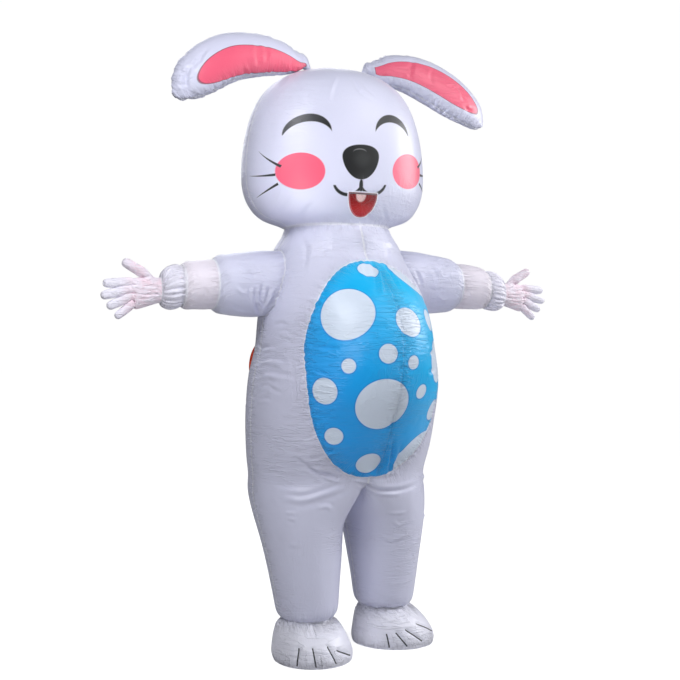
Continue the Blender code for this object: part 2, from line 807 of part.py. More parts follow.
def add_zip(skin_tree):
    """A tape over the centre back seam, a slider at its top, and the slider's pull, which hangs on a loop."""
    heights = [ZIP_TOP] + [s.height for s in TORSO if ZIP_BOTTOM < s.height < ZIP_TOP] + [ZIP_BOTTOM]
    across = [-ZIP_HALF_WIDTH, -ZIP_COIL_HALF_WIDTH, 0.0, ZIP_COIL_HALF_WIDTH, ZIP_HALF_WIDTH]
    rise = [0.0, 0.0, ZIP_COIL_RISE, 0.0, 0.0]
    bm = bmesh.new()
    under, over = [], []
    for height in heights:
        under_row, over_row = [], []
        for x, lift in zip(across, rise):
            hit = surface_behind(skin_tree, x, height)
            under_row.append(bm.verts.new(hit + Vector((0, SEAM_GAP, 0))))
            over_row.append(bm.verts.new(hit + Vector((0, SEAM_GAP + CLOTH + lift, 0))))
        under.append(under_row)
        over.append(over_row)
    last = len(across) - 1
    for j in range(len(heights) - 1):
        for k in range(last):
            bm.faces.new((over[j][k], over[j][k + 1], over[j + 1][k + 1], over[j + 1][k]))
            bm.faces.new((under[j][k], under[j + 1][k], under[j + 1][k + 1], under[j][k + 1]))
        for k in (0, last):
            bm.faces.new((over[j][k], over[j + 1][k], under[j + 1][k], under[j][k]))
    for row in (0, len(heights) - 1):
        for k in range(last):
            bm.faces.new((over[row][k], over[row][k + 1], under[row][k + 1], under[row][k]))
    bmesh.ops.recalc_face_normals(bm, faces=bm.faces[:])
    add_object("zip_tape", mesh_from("zip_tape", bm), WHITE, 0.6)

    top = surface_behind(skin_tree, 0.0, SLIDER_HEIGHT + SLIDER_LENGTH)
    low = surface_behind(skin_tree, 0.0, SLIDER_HEIGHT - SLIDER_LENGTH)
    upward = (top - low).normalized()
    outward = Vector((0, upward.z, -upward.y))
    seat = surface_behind(skin_tree, 0.0, SLIDER_HEIGHT)
    seat += outward * (2 * SEAM_GAP + CLOTH + ZIP_COIL_RISE)
    frame = Matrix((
        (1, 0, 0, seat.x),
        (0, outward.y, upward.y, seat.y),
        (0, outward.z, upward.z, seat.z),
        (0, 0, 0, 1),
    ))

    half_width, half_length = SLIDER_WIDTH / 2, SLIDER_LENGTH / 2
    loop_half = SLIDER_LOOP_WIDTH / 2
    loop_top = SLIDER_PLATE + SLIDER_LOOP_RISE
    bar = SLIDER_LOOP_BAR
    slider = box("zip_slider", (-half_width, 0, -half_length), (half_width, SLIDER_PLATE, half_length))
    loop_length = SLIDER_LOOP_HALF_LENGTH
    posts = [
        ((-loop_half, SLIDER_PLATE / 2, -loop_length), (loop_half, loop_top, -loop_length + bar)),
        ((-loop_half, SLIDER_PLATE / 2, loop_length - bar), (loop_half, loop_top, loop_length)),
        ((-loop_half, loop_top - bar, -loop_length), (loop_half, loop_top, loop_length)),
    ]
    for number, (low_corner, high_corner) in enumerate(posts):
        post = as_cutter(box(f"slider_loop_{number}", low_corner, high_corner))
        post.matrix_world = frame
        add_boolean(slider, post, "UNION")
    slider.matrix_world = frame

    pin = (SLIDER_PLATE + loop_top - bar) / 2
    pull_half = PULL_THICKNESS / 2
    pull = box(
        "zip_pull",
        (-PULL_WIDTH / 2, -pull_half, -PULL_LENGTH + pull_half),
        (PULL_WIDTH / 2, pull_half, pull_half),
    )
    eye = as_cutter(box(
        "pull_eye",
        (-loop_half - PULL_EYE_MARGIN, -PULL_THICKNESS, -PULL_EYE_LENGTH),
        (loop_half + PULL_EYE_MARGIN, PULL_THICKNESS, -pull_half),
    ))
    add_boolean(pull, eye)
    hinge = frame @ Matrix.Translation((0, pin, 0))
    pull.matrix_world = hinge
    eye.matrix_world = hinge


def add_fan(skin_tree):
    """The blower's guard: a short ring set through a hole in the cloth, with a hub and spokes across it."""
    aim = Vector((-math.sin(FAN_TURN), -math.cos(FAN_TURN), 0))
    level = Vector((-aim.y, aim.x, 0))
    plumb = Vector((0, 0, 1))

    def cloth_at(shift):
        start = Vector((0, 0, at_height(FAN_HEIGHT))) + shift + aim * REACH
        return skin_tree.ray_cast(start, -aim)[0]

    seat = cloth_at(Vector((0, 0, 0)))
    across = cloth_at(level * FAN_FLANGE) - cloth_at(-level * FAN_FLANGE)
    rising = cloth_at(plumb * FAN_FLANGE) - cloth_at(-plumb * FAN_FLANGE)
    outward = across.cross(rising).normalized()
    upward = (plumb - outward * plumb.dot(outward)).normalized()
    aside = upward.cross(outward)

    def ring(radius, lift):
        """Points round the fan, on a plane above or below the one that touches the cloth."""
        return [
            seat + outward * lift + (aside * math.cos(angle) + upward * math.sin(angle)) * radius
            for angle in angles(FAN_POINTS)
        ]

    bm = bmesh.new()
    loops = [
        skin_ring(bm, points)
        for points in (
            ring(FAN_FLANGE, -FAN_DEPTH), ring(FAN_FLANGE, FAN_EDGE),
            ring(FAN_RADIUS, FAN_RIM), ring(FAN_RADIUS, -FAN_DEPTH),
        )
    ]
    for first, second in zip(loops, loops[1:] + loops[:1]):
        for k in range(FAN_POINTS):
            after = (k + 1) % FAN_POINTS
            bm.faces.new((first[k], second[k], second[after], first[after]))
    bmesh.ops.recalc_face_normals(bm, faces=bm.faces[:])
    guard = add_object("fan_guard", mesh_from("fan_guard", bm), ORANGE, 0.4)

    frame = Matrix((
        (aside.x, upward.x, outward.x, seat.x),
        (aside.y, upward.y, outward.y, seat.y),
        (aside.z, upward.z, outward.z, seat.z),
        (0, 0, 0, 1),
    ))
    bm = bmesh.new()
    bmesh.ops.create_cone(
        bm, cap_ends=True, segments=FAN_HUB_POINTS, radius1=FAN_HUB, radius2=FAN_HUB,
        depth=FAN_BAR, matrix=Matrix.Translation((0, 0, FAN_BAR)),
    )
    hub = as_cutter(add_object("fan_hub", mesh_from("fan_hub", bm), ORANGE))
    hub.matrix_world = frame
    add_boolean(guard, hub, "UNION")
    reach = FAN_RADIUS + FAN_BAR_HOLD
    for spoke in range(FAN_SPOKES // 2):
        bar = as_cutter(box(
            f"fan_spoke_{spoke}",
            (-reach, -FAN_BAR / 2, FAN_BAR_LOW),
            (reach, FAN_BAR / 2, FAN_BAR_HIGH),
        ))
        bar.matrix_world = frame @ Matrix.Rotation(math.pi * spoke / (FAN_SPOKES // 2), 4, "Z")
        add_boolean(guard, bar, "UNION")

    bm = bmesh.new()
    bmesh.ops.create_cone(
        bm, cap_ends=True, segments=FAN_POINTS, radius1=FAN_HOLE, radius2=FAN_HOLE,
        depth=FAN_HOLE_DEPTH,
    )
    hole = as_cutter(add_object("fan_hole_cutter", mesh_from("fan_hole_cutter", bm), WHITE))
    hole.matrix_world = frame
    add_boolean(bpy.data.objects["body_back_right"], hole)


for old in list(bpy.data.objects):
    bpy.data.objects.remove(old)

skin = build_skin()
traced = skin.copy()
bmesh.ops.triangulate(traced, faces=traced.faces[:], quad_method="SHORT_EDGE")
skin_tree = BVHTree.FromBMesh(traced)
traced.free()
for number, panel_name in enumerate(PANELS):
    add_panel(panel_name, skin, {number})
add_belly(skin)
add_window(skin)
for hand, side in (("right", -1), ("left", 1)):
    cutter = armhole_cutter(hand, side)
    for depth in ("front", "back"):
        add_boolean(bpy.data.objects[f"body_{depth}_{hand}"], cutter)
    add_sleeve(skin_tree, hand, side)
    add_fore_sleeve(hand, side)
    add_cuff(hand, side)
    add_glove(hand, side)
    add_foot(hand, side)
    add_ear(skin_tree, hand, side)
add_zip(skin_tree)
add_fan(skin_tree)
skin.free()
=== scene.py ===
"""Blower-filled rabbit costume: satin shells, prints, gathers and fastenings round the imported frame."""

import math
from collections import namedtuple

import bmesh
import bpy
import numpy as np
from mathutils import Matrix, Vector
from mathutils.bvhtree import BVHTree
from mathutils.kdtree import KDTree


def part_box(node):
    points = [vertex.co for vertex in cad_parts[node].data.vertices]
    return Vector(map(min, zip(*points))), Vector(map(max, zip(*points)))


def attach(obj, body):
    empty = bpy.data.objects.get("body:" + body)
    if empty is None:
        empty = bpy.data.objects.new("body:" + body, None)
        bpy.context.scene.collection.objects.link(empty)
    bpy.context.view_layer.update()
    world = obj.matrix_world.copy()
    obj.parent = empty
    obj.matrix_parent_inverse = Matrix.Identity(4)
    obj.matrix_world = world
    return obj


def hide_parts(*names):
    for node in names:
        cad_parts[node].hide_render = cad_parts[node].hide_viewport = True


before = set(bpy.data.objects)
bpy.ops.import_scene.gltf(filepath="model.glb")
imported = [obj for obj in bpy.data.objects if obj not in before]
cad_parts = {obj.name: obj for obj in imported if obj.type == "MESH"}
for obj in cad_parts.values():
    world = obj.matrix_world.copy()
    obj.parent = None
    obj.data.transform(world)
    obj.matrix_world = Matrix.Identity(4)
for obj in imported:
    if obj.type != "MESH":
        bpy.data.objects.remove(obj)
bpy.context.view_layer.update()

bpy.ops.object.select_all(action="DESELECT")

# ---- Skin of head, body and legs ------------------------------------------------------------------
# The air-filled skin: coated satin polyester in six panels, sewn at the neck, the centre front and
# back, the sides and the inside legs. It is shaped as one surface, so that panels share their seams,
# and is cut into its panels once its gathers and creases are in it.

FLOOR = -1.30
ROUNDNESS = 2.15
COLUMNS = 24
SIDE = COLUMNS // 4
CROTCH_COLUMNS = 6
LEG_COLUMNS = COLUMNS // 2 + CROTCH_COLUMNS
CROTCH_DROP = 0.066
CROTCH_FULLNESS = 0.8
SMOOTH_LEVELS = 4
FITTING_ROUNDS = 4
CLOTH = 0.0013

# Heights are above the floor, half widths and depths are from the middle of each ring.
Ring = namedtuple("Ring", "height across half_width front back")
HEAD = [
    Ring(1.878, -0.010, 0.090, 0.070, 0.074),
    Ring(1.857, -0.010, 0.158, 0.124, 0.130),
    Ring(1.820, -0.010, 0.215, 0.168, 0.176),
    Ring(1.770, -0.010, 0.255, 0.197, 0.207),
    Ring(1.700, -0.010, 0.284, 0.216, 0.227),
    Ring(1.620, -0.010, 0.301, 0.226, 0.237),
    Ring(1.540, -0.010, 0.307, 0.228, 0.241),
    Ring(1.475, -0.009, 0.301, 0.225, 0.236),
    Ring(1.425, -0.008, 0.277, 0.214, 0.222),
    Ring(1.388, -0.005, 0.232, 0.196, 0.196),
    Ring(1.364, -0.002, 0.170, 0.186, 0.172),
]
CROWN_HEIGHT = 1.885
TORSO = [
    HEAD[-1],
    Ring(1.310, 0.000, 0.196, 0.206, 0.192),
    Ring(1.260, 0.000, 0.217, 0.226, 0.206),
    Ring(1.200, 0.000, 0.234, 0.295, 0.217),
    Ring(1.130, 0.000, 0.249, 0.365, 0.228),
    Ring(1.050, 0.000, 0.261, 0.412, 0.236),
    Ring(0.975, 0.000, 0.268, 0.430, 0.240),
    Ring(0.900, 0.000, 0.287, 0.424, 0.247),
    Ring(0.820, 0.000, 0.297, 0.398, 0.251),
    Ring(0.740, 0.000, 0.301, 0.352, 0.252),
    Ring(0.670, 0.000, 0.300, 0.315, 0.248),
    Ring(0.610, 0.000, 0.297, 0.268, 0.243),
    Ring(0.564, 0.000, 0.293, 0.243, 0.236),
]
LegRing = namedtuple("LegRing", "height apart forward half_width half_depth rounded")
LEG = [
    LegRing(0.520, 0.150, 0.005, 0.147, 0.205, 0.35),
    LegRing(0.470, 0.150, 0.025, 0.141, 0.182, 0.65),
    LegRing(0.415, 0.149, 0.040, 0.134, 0.163, 0.90),
    LegRing(0.350, 0.145, 0.052, 0.126, 0.146, 1.00),
    LegRing(0.280, 0.142, 0.062, 0.116, 0.130, 1.00),
    LegRing(0.215, 0.140, 0.069, 0.107, 0.117, 1.00),
    LegRing(0.165, 0.138, 0.073, 0.101, 0.108, 1.00),
    LegRing(0.137, 0.138, 0.075, 0.094, 0.099, 1.00),
    LegRing(0.120, 0.138, 0.076, 0.079, 0.084, 1.00),
]
# How far each leg's ankle stands further out and further back.
STANCE = {"right": (0.000, 0.000), "left": (0.030, 0.060)}
SIDES = {"right": -1, "left": 1}
PANELS = [
    "head_front", "head_back", "body_front_right", "body_front_left",
    "body_back_right", "body_back_left", "belly_right", "belly_left",
    "vision_window", "waste",
]


def powered(value, exponent):
    return math.copysign(abs(value) ** exponent, value)


def ring_point(ring, turn):
    """A point on a ring, turned from the centre front towards the costume's left."""
    depth = ring.front if math.cos(turn) > 0 else ring.back
    return Vector((
        ring.across + ring.half_width * powered(math.sin(turn), 2 / ROUNDNESS),
        -depth * powered(math.cos(turn), 2 / ROUNDNESS),
        FLOOR + ring.height,
    ))


def leg_centre(ring, hand):
    out, back = STANCE[hand]
    down = (TORSO[-1].height - ring.height) / (TORSO[-1].height - LEG[-1].height)
    return Vector((
        SIDES[hand] * (ring.apart + out * down),
        back * down - ring.forward,
        FLOOR + ring.height,
    ))


def add_band(cage, upper, lower, panel_at):
    """Quads between two closed rings of points."""
    for k in range(len(upper)):
        after = (k + 1) % len(upper)
        face = cage.faces.new((upper[k], lower[k], lower[after], upper[after]))
        face.material_index = PANELS.index(panel_at(k))


def front_or_back(k, last_front=SIDE, first_front=COLUMNS - SIDE):
    return "front" if k < last_front or k >= first_front else "back"


def skin_cage():
    """The coarse cage of the whole skin, with a panel on each face."""
    cage = bmesh.new()
    turns = [2 * math.pi * k / COLUMNS for k in range(COLUMNS)]

    def head_panel(k):
        return f"head_{front_or_back(k)}"

    def body_panel(k):
        return f"body_{front_or_back(k)}_{'left' if k < COLUMNS // 2 else 'right'}"

    rings = [[cage.verts.new(ring_point(ring, turn)) for turn in turns] for ring in HEAD + TORSO[1:]]
    crown = cage.verts.new((HEAD[0].across, 0, FLOOR + CROWN_HEIGHT))
    for k in range(COLUMNS):
        face = cage.faces.new((crown, rings[0][k], rings[0][(k + 1) % COLUMNS]))
        face.material_index = PANELS.index(head_panel(k))
    for number, (upper, lower) in enumerate(zip(rings, rings[1:])):
        add_band(cage, upper, lower, head_panel if number < len(HEAD) - 1 else body_panel)

    hips = TORSO[-1]
    crotch = []
    for k in range(1, CROTCH_COLUMNS):
        share = k / CROTCH_COLUMNS
        drop = CROTCH_DROP * math.sin(math.pi * share) ** CROTCH_FULLNESS
        y = hips.back - (hips.front + hips.back) * share
        crotch.append(cage.verts.new((0, y, FLOOR + hips.height - drop)))
    step = 2 * math.pi / LEG_COLUMNS
    for hand, side in SIDES.items():
        first = [rings[-1][(side * k) % COLUMNS] for k in range(COLUMNS // 2 + 1)] + crotch
        start = [vertex.co.copy() for vertex in first]
        upper = first

        def leg_panel(k, hand=hand, count=len(first), side=side):
            column = k if side > 0 else (count - 2 - k) % count
            return f"body_{front_or_back(column, SIDE, COLUMNS // 2 + CROTCH_COLUMNS // 2)}_{hand}"

        for ring in LEG:
            centre = leg_centre(ring, hand)
            lower = []
            for k, point in enumerate(start):
                turn = (k - SIDE) * step + math.pi / 2
                lowered = point + Vector((0, 0, ring.height - hips.height))
                rounded = centre + Vector((
                    side * ring.half_width * math.sin(turn), -ring.half_depth * math.cos(turn), 0,
                ))
                lower.append(cage.verts.new(lowered.lerp(rounded, ring.rounded)))
            order = 1 if side > 0 else -1
            add_band(cage, upper[::order], lower[::order], leg_panel)
            upper = lower
    return cage


def new_object(name, data):
    made = bpy.data.objects.new(name, data)
    bpy.context.scene.collection.objects.link(made)
    return made


def select_only(*pieces):
    """Selects these objects alone, the first of them as the active one."""
    bpy.ops.object.select_all(action="DESELECT")
    for piece in pieces:
        piece.select_set(True)
    bpy.context.view_layer.objects.active = pieces[0]


def apply_modifier(piece, kind, **settings):
    """Adds a modifier with these settings and applies it."""
    modifier = piece.modifiers.new(kind.title(), kind)
    for setting, value in settings.items():
        setattr(modifier, setting, value)
    select_only(piece)
    bpy.ops.object.modifier_apply(modifier=modifier.name)


def points_of(mesh):
    flat = np.empty(len(mesh.vertices) * 3)
    mesh.vertices.foreach_get("co", flat)
    return flat.reshape(-1, 3)


def normals_of(mesh):
    flat = np.empty(len(mesh.vertices) * 3, np.float32)
    mesh.vertex_normals.foreach_get("vector", flat)
    return flat.reshape(-1, 3).astype(float)


def set_points(mesh, points):
    mesh.vertices.foreach_set("co", points.ravel())
    mesh.update()


def surface_tree(mesh):
    """A tree that rays are cast at, to find places on a mesh."""
    faces = [tuple(face.vertices) for face in mesh.polygons]
    return BVHTree.FromPolygons(points_of(mesh).tolist(), faces)


def rounded_object(name, cage, levels):
    """The cage smoothed, and pushed out first so that the smooth surface passes through its points."""
    mesh = bpy.data.meshes.new(name)
    cage.to_mesh(mesh)
    cage.free()
    piece = new_object(name, mesh)
    for panel in PANELS:
        mesh.materials.append(bpy.data.materials.get(panel) or bpy.data.materials.new(panel))
    wanted = points_of(mesh)
    trial = piece.modifiers.new("Trial", "SUBSURF")
    trial.levels = trial.render_levels = 2
    for _ in range(FITTING_ROUNDS):
        graph = bpy.context.evaluated_depsgraph_get()
        graph.update()
        reached = points_of(piece.evaluated_get(graph).data)[:len(wanted)]
        set_points(mesh, points_of(mesh) + wanted - reached)
    piece.modifiers.remove(trial)
    apply_modifier(piece, "SUBSURF", levels=levels, render_levels=levels)
    return piece


def cut_along(mesh_bm, field, panels=None):
    """Draws a line of edges along the places where a signed field is zero, by moving the nearest points
    of the crossing edges onto it and splitting the faces that it still crosses."""
    values = {}
    faces = [f for f in mesh_bm.faces if panels is None or PANELS[f.material_index] in panels]
    verts = {v for f in faces for v in f.verts}
    for vertex in verts:
        values[vertex] = field(vertex.co)
    moves = {}
    for edge in {e for f in faces for e in f.edges}:
        a, b = edge.verts
        if values[a] * values[b] >= 0:
            continue
        share = values[a] / (values[a] - values[b])
        mover, other = (a, b) if share < 0.5 else (b, a)
        reach = share if share < 0.5 else 1 - share
        if mover not in moves or reach < moves[mover][0]:
            moves[mover] = (reach, mover.co.lerp(other.co, reach))
    for vertex, (_, place) in moves.items():
        vertex.co = place
        values[vertex] = 0.0
    for face in faces:
        corners = list(face.verts)
        signs = [values[v] for v in corners]
        if max(signs) > 0 > min(signs):
            zeros = [v for v in corners if values[v] == 0.0]
            if len(zeros) == 2:
                bmesh.utils.face_split(face, zeros[0], zeros[1])
    return values


def repaint(mesh_bm, values, inside, panels=None):
    """Gives the faces where the field is negative to another panel."""
    for face in mesh_bm.faces:
        if panels is not None and PANELS[face.material_index] not in panels:
            continue
        if all(v in values for v in face.verts) and sum(values[v] for v in face.verts) < 0:
            face.material_index = PANELS.index(inside)


skin = rounded_object("skin", skin_cage(), SMOOTH_LEVELS)

# The belly's oval with its own seam, the mouth's window, the armholes and the blower's hole.
BELLY_HEIGHT = 0.911
BELLY_HALF_HEIGHT = 0.337
BELLY_HALF_WIDTH = 0.228
BELLY_SEAM_ACROSS = 0.025
WINDOW_TOP = 1.458
WINDOW_BOTTOM = 1.384
WINDOW_HALF_WIDTH = 0.050
WINDOW_ACROSS = -0.008
ARMHOLE_HEIGHT = 1.183
ARMHOLE_HALF_HEIGHT = 0.106
ARMHOLE_HALF_DEPTH = 0.093
ARM_LIFT = {"right": 0.0, "left": 0.024}
ARMHOLE_OUT = 0.24
FAN_RADIUS = 0.0566


def belly_field(point):
    across = abs(point.x / BELLY_HALF_WIDTH)
    up = abs((point.z - FLOOR - BELLY_HEIGHT) / BELLY_HALF_HEIGHT)
    return (across ** ROUNDNESS + up ** ROUNDNESS) ** (1 / ROUNDNESS) - 1


def belly_seam_field(point):
    return point.x - BELLY_SEAM_ACROSS


def window_field(point):
    """A mouth's shape: straight along the top and rounded below."""
    across = abs((point.x - WINDOW_ACROSS) / WINDOW_HALF_WIDTH)
    down = (FLOOR + WINDOW_TOP - point.z) / (WINDOW_TOP - WINDOW_BOTTOM)
    if down < 0:
        return max(-down, across - 1)
    return max((across ** ROUNDNESS + down ** ROUNDNESS) ** (1 / ROUNDNESS) - 1, -down)


def arm_level(height, out, hand):
    """The level of a place on an arm: the left arm is held a little higher, most at its root."""
    return FLOOR + height + ARM_LIFT[hand] * (1 - out)


def armhole_field(hand):
    height = arm_level(ARMHOLE_HEIGHT, ARMHOLE_OUT, hand)

    def field(point):
        if SIDES[hand] * point.x < ARMHOLE_HALF_DEPTH:
            return 1.0
        return math.hypot(point.y / ARMHOLE_HALF_DEPTH, (point.z - height) / ARMHOLE_HALF_HEIGHT) - 1
    return field


def fan_field(point):
    """Distance from the blower's axis, less the hole's radius."""
    across = point - FAN_MIDDLE
    if across.dot(FAN_OUTWARD) < -FAN_RADIUS:
        return 1.0
    return (across - FAN_OUTWARD * across.dot(FAN_OUTWARD)).length - FAN_RADIUS


FAN_OUTWARD = Vector((-0.70435, 0.69324, 0.15267)).normalized()
FAN_MIDDLE = Vector((-0.21495, 0.16198, -0.370))

shell = bmesh.new()
shell.from_mesh(skin.data)
fronts = ("body_front_right", "body_front_left")
repaint(shell, cut_along(shell, belly_field, fronts), "belly_right", fronts)
halves = cut_along(shell, belly_seam_field, ("belly_right",))
repaint(shell, {vertex: -value for vertex, value in halves.items()}, "belly_left", ("belly_right",))
repaint(shell, cut_along(shell, window_field, ("head_front",)), "vision_window", ("head_front",))
for hand in SIDES:
    sides = (f"body_front_{hand}", f"body_back_{hand}")
    repaint(shell, cut_along(shell, armhole_field(hand), sides), "waste", sides)
skin_tree = BVHTree.FromBMesh(shell)
backs = ("body_back_right",)
repaint(shell, cut_along(shell, fan_field, backs), "waste", backs)
bmesh.ops.delete(
    shell, geom=[f for f in shell.faces if PANELS[f.material_index] == "waste"], context="FACES"
)

# The skin's seams: each is drawn in, and its two sides pucker unevenly where the thread is short.
# Long creases run across the cloth where the wearer bends it and where the seams meet.
LINKS = {
    frozenset(("head_front", "head_back")): (0.0014, 0.5),
    frozenset(("belly_right", "belly_left")): (0.0016, 0.7),
    frozenset(("body_front_right", "body_front_left")): (0.0018, 0.5),
    frozenset(("body_back_right", "body_back_left")): (0.0014, 0.6),
    frozenset(("body_front_right", "body_back_right")): (0.0016, 0.6),
    frozenset(("body_front_left", "body_back_left")): (0.0016, 0.6),
}
BELLY_LINK = (0.0034, 1.0)
NECK_LINK = (0.0050, 0.8)
WINDOW_LINK = (0.0010, 0.3)
ARMHOLE_LINK = (0.0030, 1.3)
ANKLE_LINK = (0.0016, 1.5)
FAN_LINK = (0.0008, 1.1)
GROOVE_WIDTH = 0.006
PUCKER_REACH = 0.085
MEETING = 0.016
POINT_SPACING = 0.008
RUN_SPACING = 3.0


def link_of(edge):
    """How deep a seam is drawn in, and how strongly it puckers."""
    names = frozenset(PANELS[face.material_index] for face in edge.link_faces)
    middle = (edge.verts[0].co + edge.verts[1].co) / 2
    if len(edge.link_faces) == 1:
        if middle.z < FLOOR + 0.2:
            return ANKLE_LINK
        return ARMHOLE_LINK if middle.z > FLOOR + 1.02 else FAN_LINK
    if names in LINKS:
        return LINKS[names]
    if "vision_window" in names:
        return WINDOW_LINK
    if any(name.startswith("head") for name in names):
        return NECK_LINK
    return BELLY_LINK


def seam_runs(shell):
    """Chains of seam edges of one kind, each a list of vertices in order."""
    links = {}
    for edge in shell.edges:
        kinds = {face.material_index for face in edge.link_faces}
        if len(edge.link_faces) == 1 or len(kinds) == 2:
            links[edge] = link_of(edge)
    at = {}
    for edge in links:
        for vertex in edge.verts:
            at.setdefault(vertex, []).append(edge)

    def is_end(vertex):
        return len(at[vertex]) != 2 or len({links[edge] for edge in at[vertex]}) > 1

    used = set()
    runs = []
    starts = sorted(at, key=lambda vertex: (not is_end(vertex), vertex.index))
    for start in starts:
        for first in at[start]:
            if first in used or not is_end(start) and len(used & set(at[start])):
                continue
            run, edge, vertex = [start], first, start
            while edge is not None and edge not in used:
                used.add(edge)
                vertex = edge.other_vert(vertex)
                run.append(vertex)
                onward = [other for other in at[vertex] if other not in used]
                edge = onward[0] if onward and not is_end(vertex) else None
            if len(run) > 3:
                runs.append((links[first], run))
    return runs


def place_tree(places):
    """A tree that finds the nearest of these places."""
    tree = KDTree(len(places))
    for k, place in enumerate(places):
        tree.insert(place, k)
    tree.balance()
    return tree


def close_to(points, line, reach):
    """Which points lie in a box round a line."""
    return ((points > line.min(axis=0) - reach) & (points < line.max(axis=0) + reach)).all(axis=1)


def unit(rows):
    return rows / np.maximum(np.linalg.norm(rows, axis=1, keepdims=True), 1e-12)


class SeamMap:
    """For each point of a surface: the nearest seam's line, how far along it and how far from it."""

    def __init__(self, points, normals, runs):
        places, tangents, along, numbers = [], [], [], []
        for number, (_, line) in enumerate(runs):
            steps = np.linalg.norm(np.diff(line, axis=0), axis=1)
            places.append(line)
            tangents.append(unit(np.gradient(line, axis=0)))
            along.append(np.concatenate([[0.0], np.cumsum(steps)]))
            numbers.append(np.full(len(line), number))
        places, tangents = np.concatenate(places), np.concatenate(tangents)
        along, numbers = np.concatenate(along), np.concatenate(numbers)
        tree = place_tree(places)
        nearest = np.array([tree.find(point)[1] for point in points])
        offset = points - places[nearest]
        forward = np.einsum("ij,ij->i", offset, tangents[nearest])
        forward = np.clip(forward, -POINT_SPACING, POINT_SPACING)
        self.run = numbers[nearest]
        self.along = along[nearest] + forward
        self.away = np.linalg.norm(offset - forward[:, None] * tangents[nearest], axis=1)
        self.side = np.sign(np.einsum("ij,ij->i", offset, np.cross(tangents[nearest], normals)))
        self.lengths = [along[numbers == number].max() for number in range(len(runs))]
        self.links = [link for link, _ in runs]
        depths = np.array([depth for depth, _ in self.links])
        self.groove = depths[self.run] * np.exp(-((self.away / GROOVE_WIDTH) ** 2))
        # Where two seams meet, their puckers and crinkles fade, so that neither breaks off.
        self.apart = np.ones(len(points))
        first = np.linalg.norm(offset, axis=1)
        for number, ((depth, _), line) in enumerate(runs):
            near = (first < PUCKER_REACH) & (self.run != number)
            near = np.flatnonzero(near & close_to(points, line, PUCKER_REACH + MEETING))
            own = place_tree(line)
            second = np.array([own.find(point)[2] for point in points[near]])
            if len(near):
                self.apart[near] = np.minimum(self.apart[near], (second - first[near]) / MEETING)
                self.groove[near] = np.maximum(
                    self.groove[near], depth * np.exp(-((second / GROOVE_WIDTH) ** 2)))
        self.apart = np.clip(self.apart, 0, 1)


def fold(gap, width=1.0, ridge=0.4, apart=2.0):
    """A soft trough across a fold, with a lower ridge beside it."""
    return np.exp(-(gap / width) ** 2) - ridge * np.exp(-((gap - apart * width) / width) ** 2)


def puckered(seams, rng, scale=1.0):
    """How far each point sinks beside the seams, from the groove and from uneven puckers."""
    sink = np.zeros(len(seams.run))
    for number, (_, strength) in enumerate(seams.links):
        of_run = np.flatnonzero((seams.run == number) & (seams.away < PUCKER_REACH))
        if not len(of_run):
            continue
        for side in (-1, 1):
            chosen = of_run[(seams.side[of_run] == side) | (seams.away[of_run] < 1e-4)]
            order = chosen[np.argsort(seams.along[chosen])]
            line = seams.along[order]
            place = rng.uniform(0.0, 0.02)
            while place < seams.lengths[number]:
                reach = rng.uniform(0.016, 0.075) * rng.choice([0.7, 1.0, 1.0])
                half = rng.uniform(0.0042, 0.0085)
                deep = strength * rng.uniform(0.0007, 0.0031) * scale
                slant = rng.uniform(-0.45, 0.45)
                low, high = np.searchsorted(line, [place - 0.05, place + 0.05])
                near = order[low:high]
                out = seams.away[near]
                across = (seams.along[near] - place - slant * out) / (half * (1 + out / reach * 0.5))
                fade = np.clip(1 - out / reach, 0, 1) ** 1.5
                sink[near] += deep * fade * fold(across, ridge=0.45, apart=1.9)
                place += rng.uniform(0.009, 0.028) * rng.choice([1.0, 1.0, 1.8])
    return sink * seams.apart + seams.groove


# Each crease: points across and up as seen from one side, width and depth. A negative depth is a
# raised fold. All are deepened alike. Sides are turns in degrees from the front.
CREASE_DEPTH = 1.5
FRONT_RIGHT, BACK_LEFT = -25, 155
LEFT, RIGHT = 70, -115
BLOWER_SIDE, BACK = -143, 180
Crease = namedtuple("Crease", "turn points width depth")


def seen_from(turn, *rows):
    """The creases that are seen from one side."""
    return [Crease(turn, *row) for row in rows]


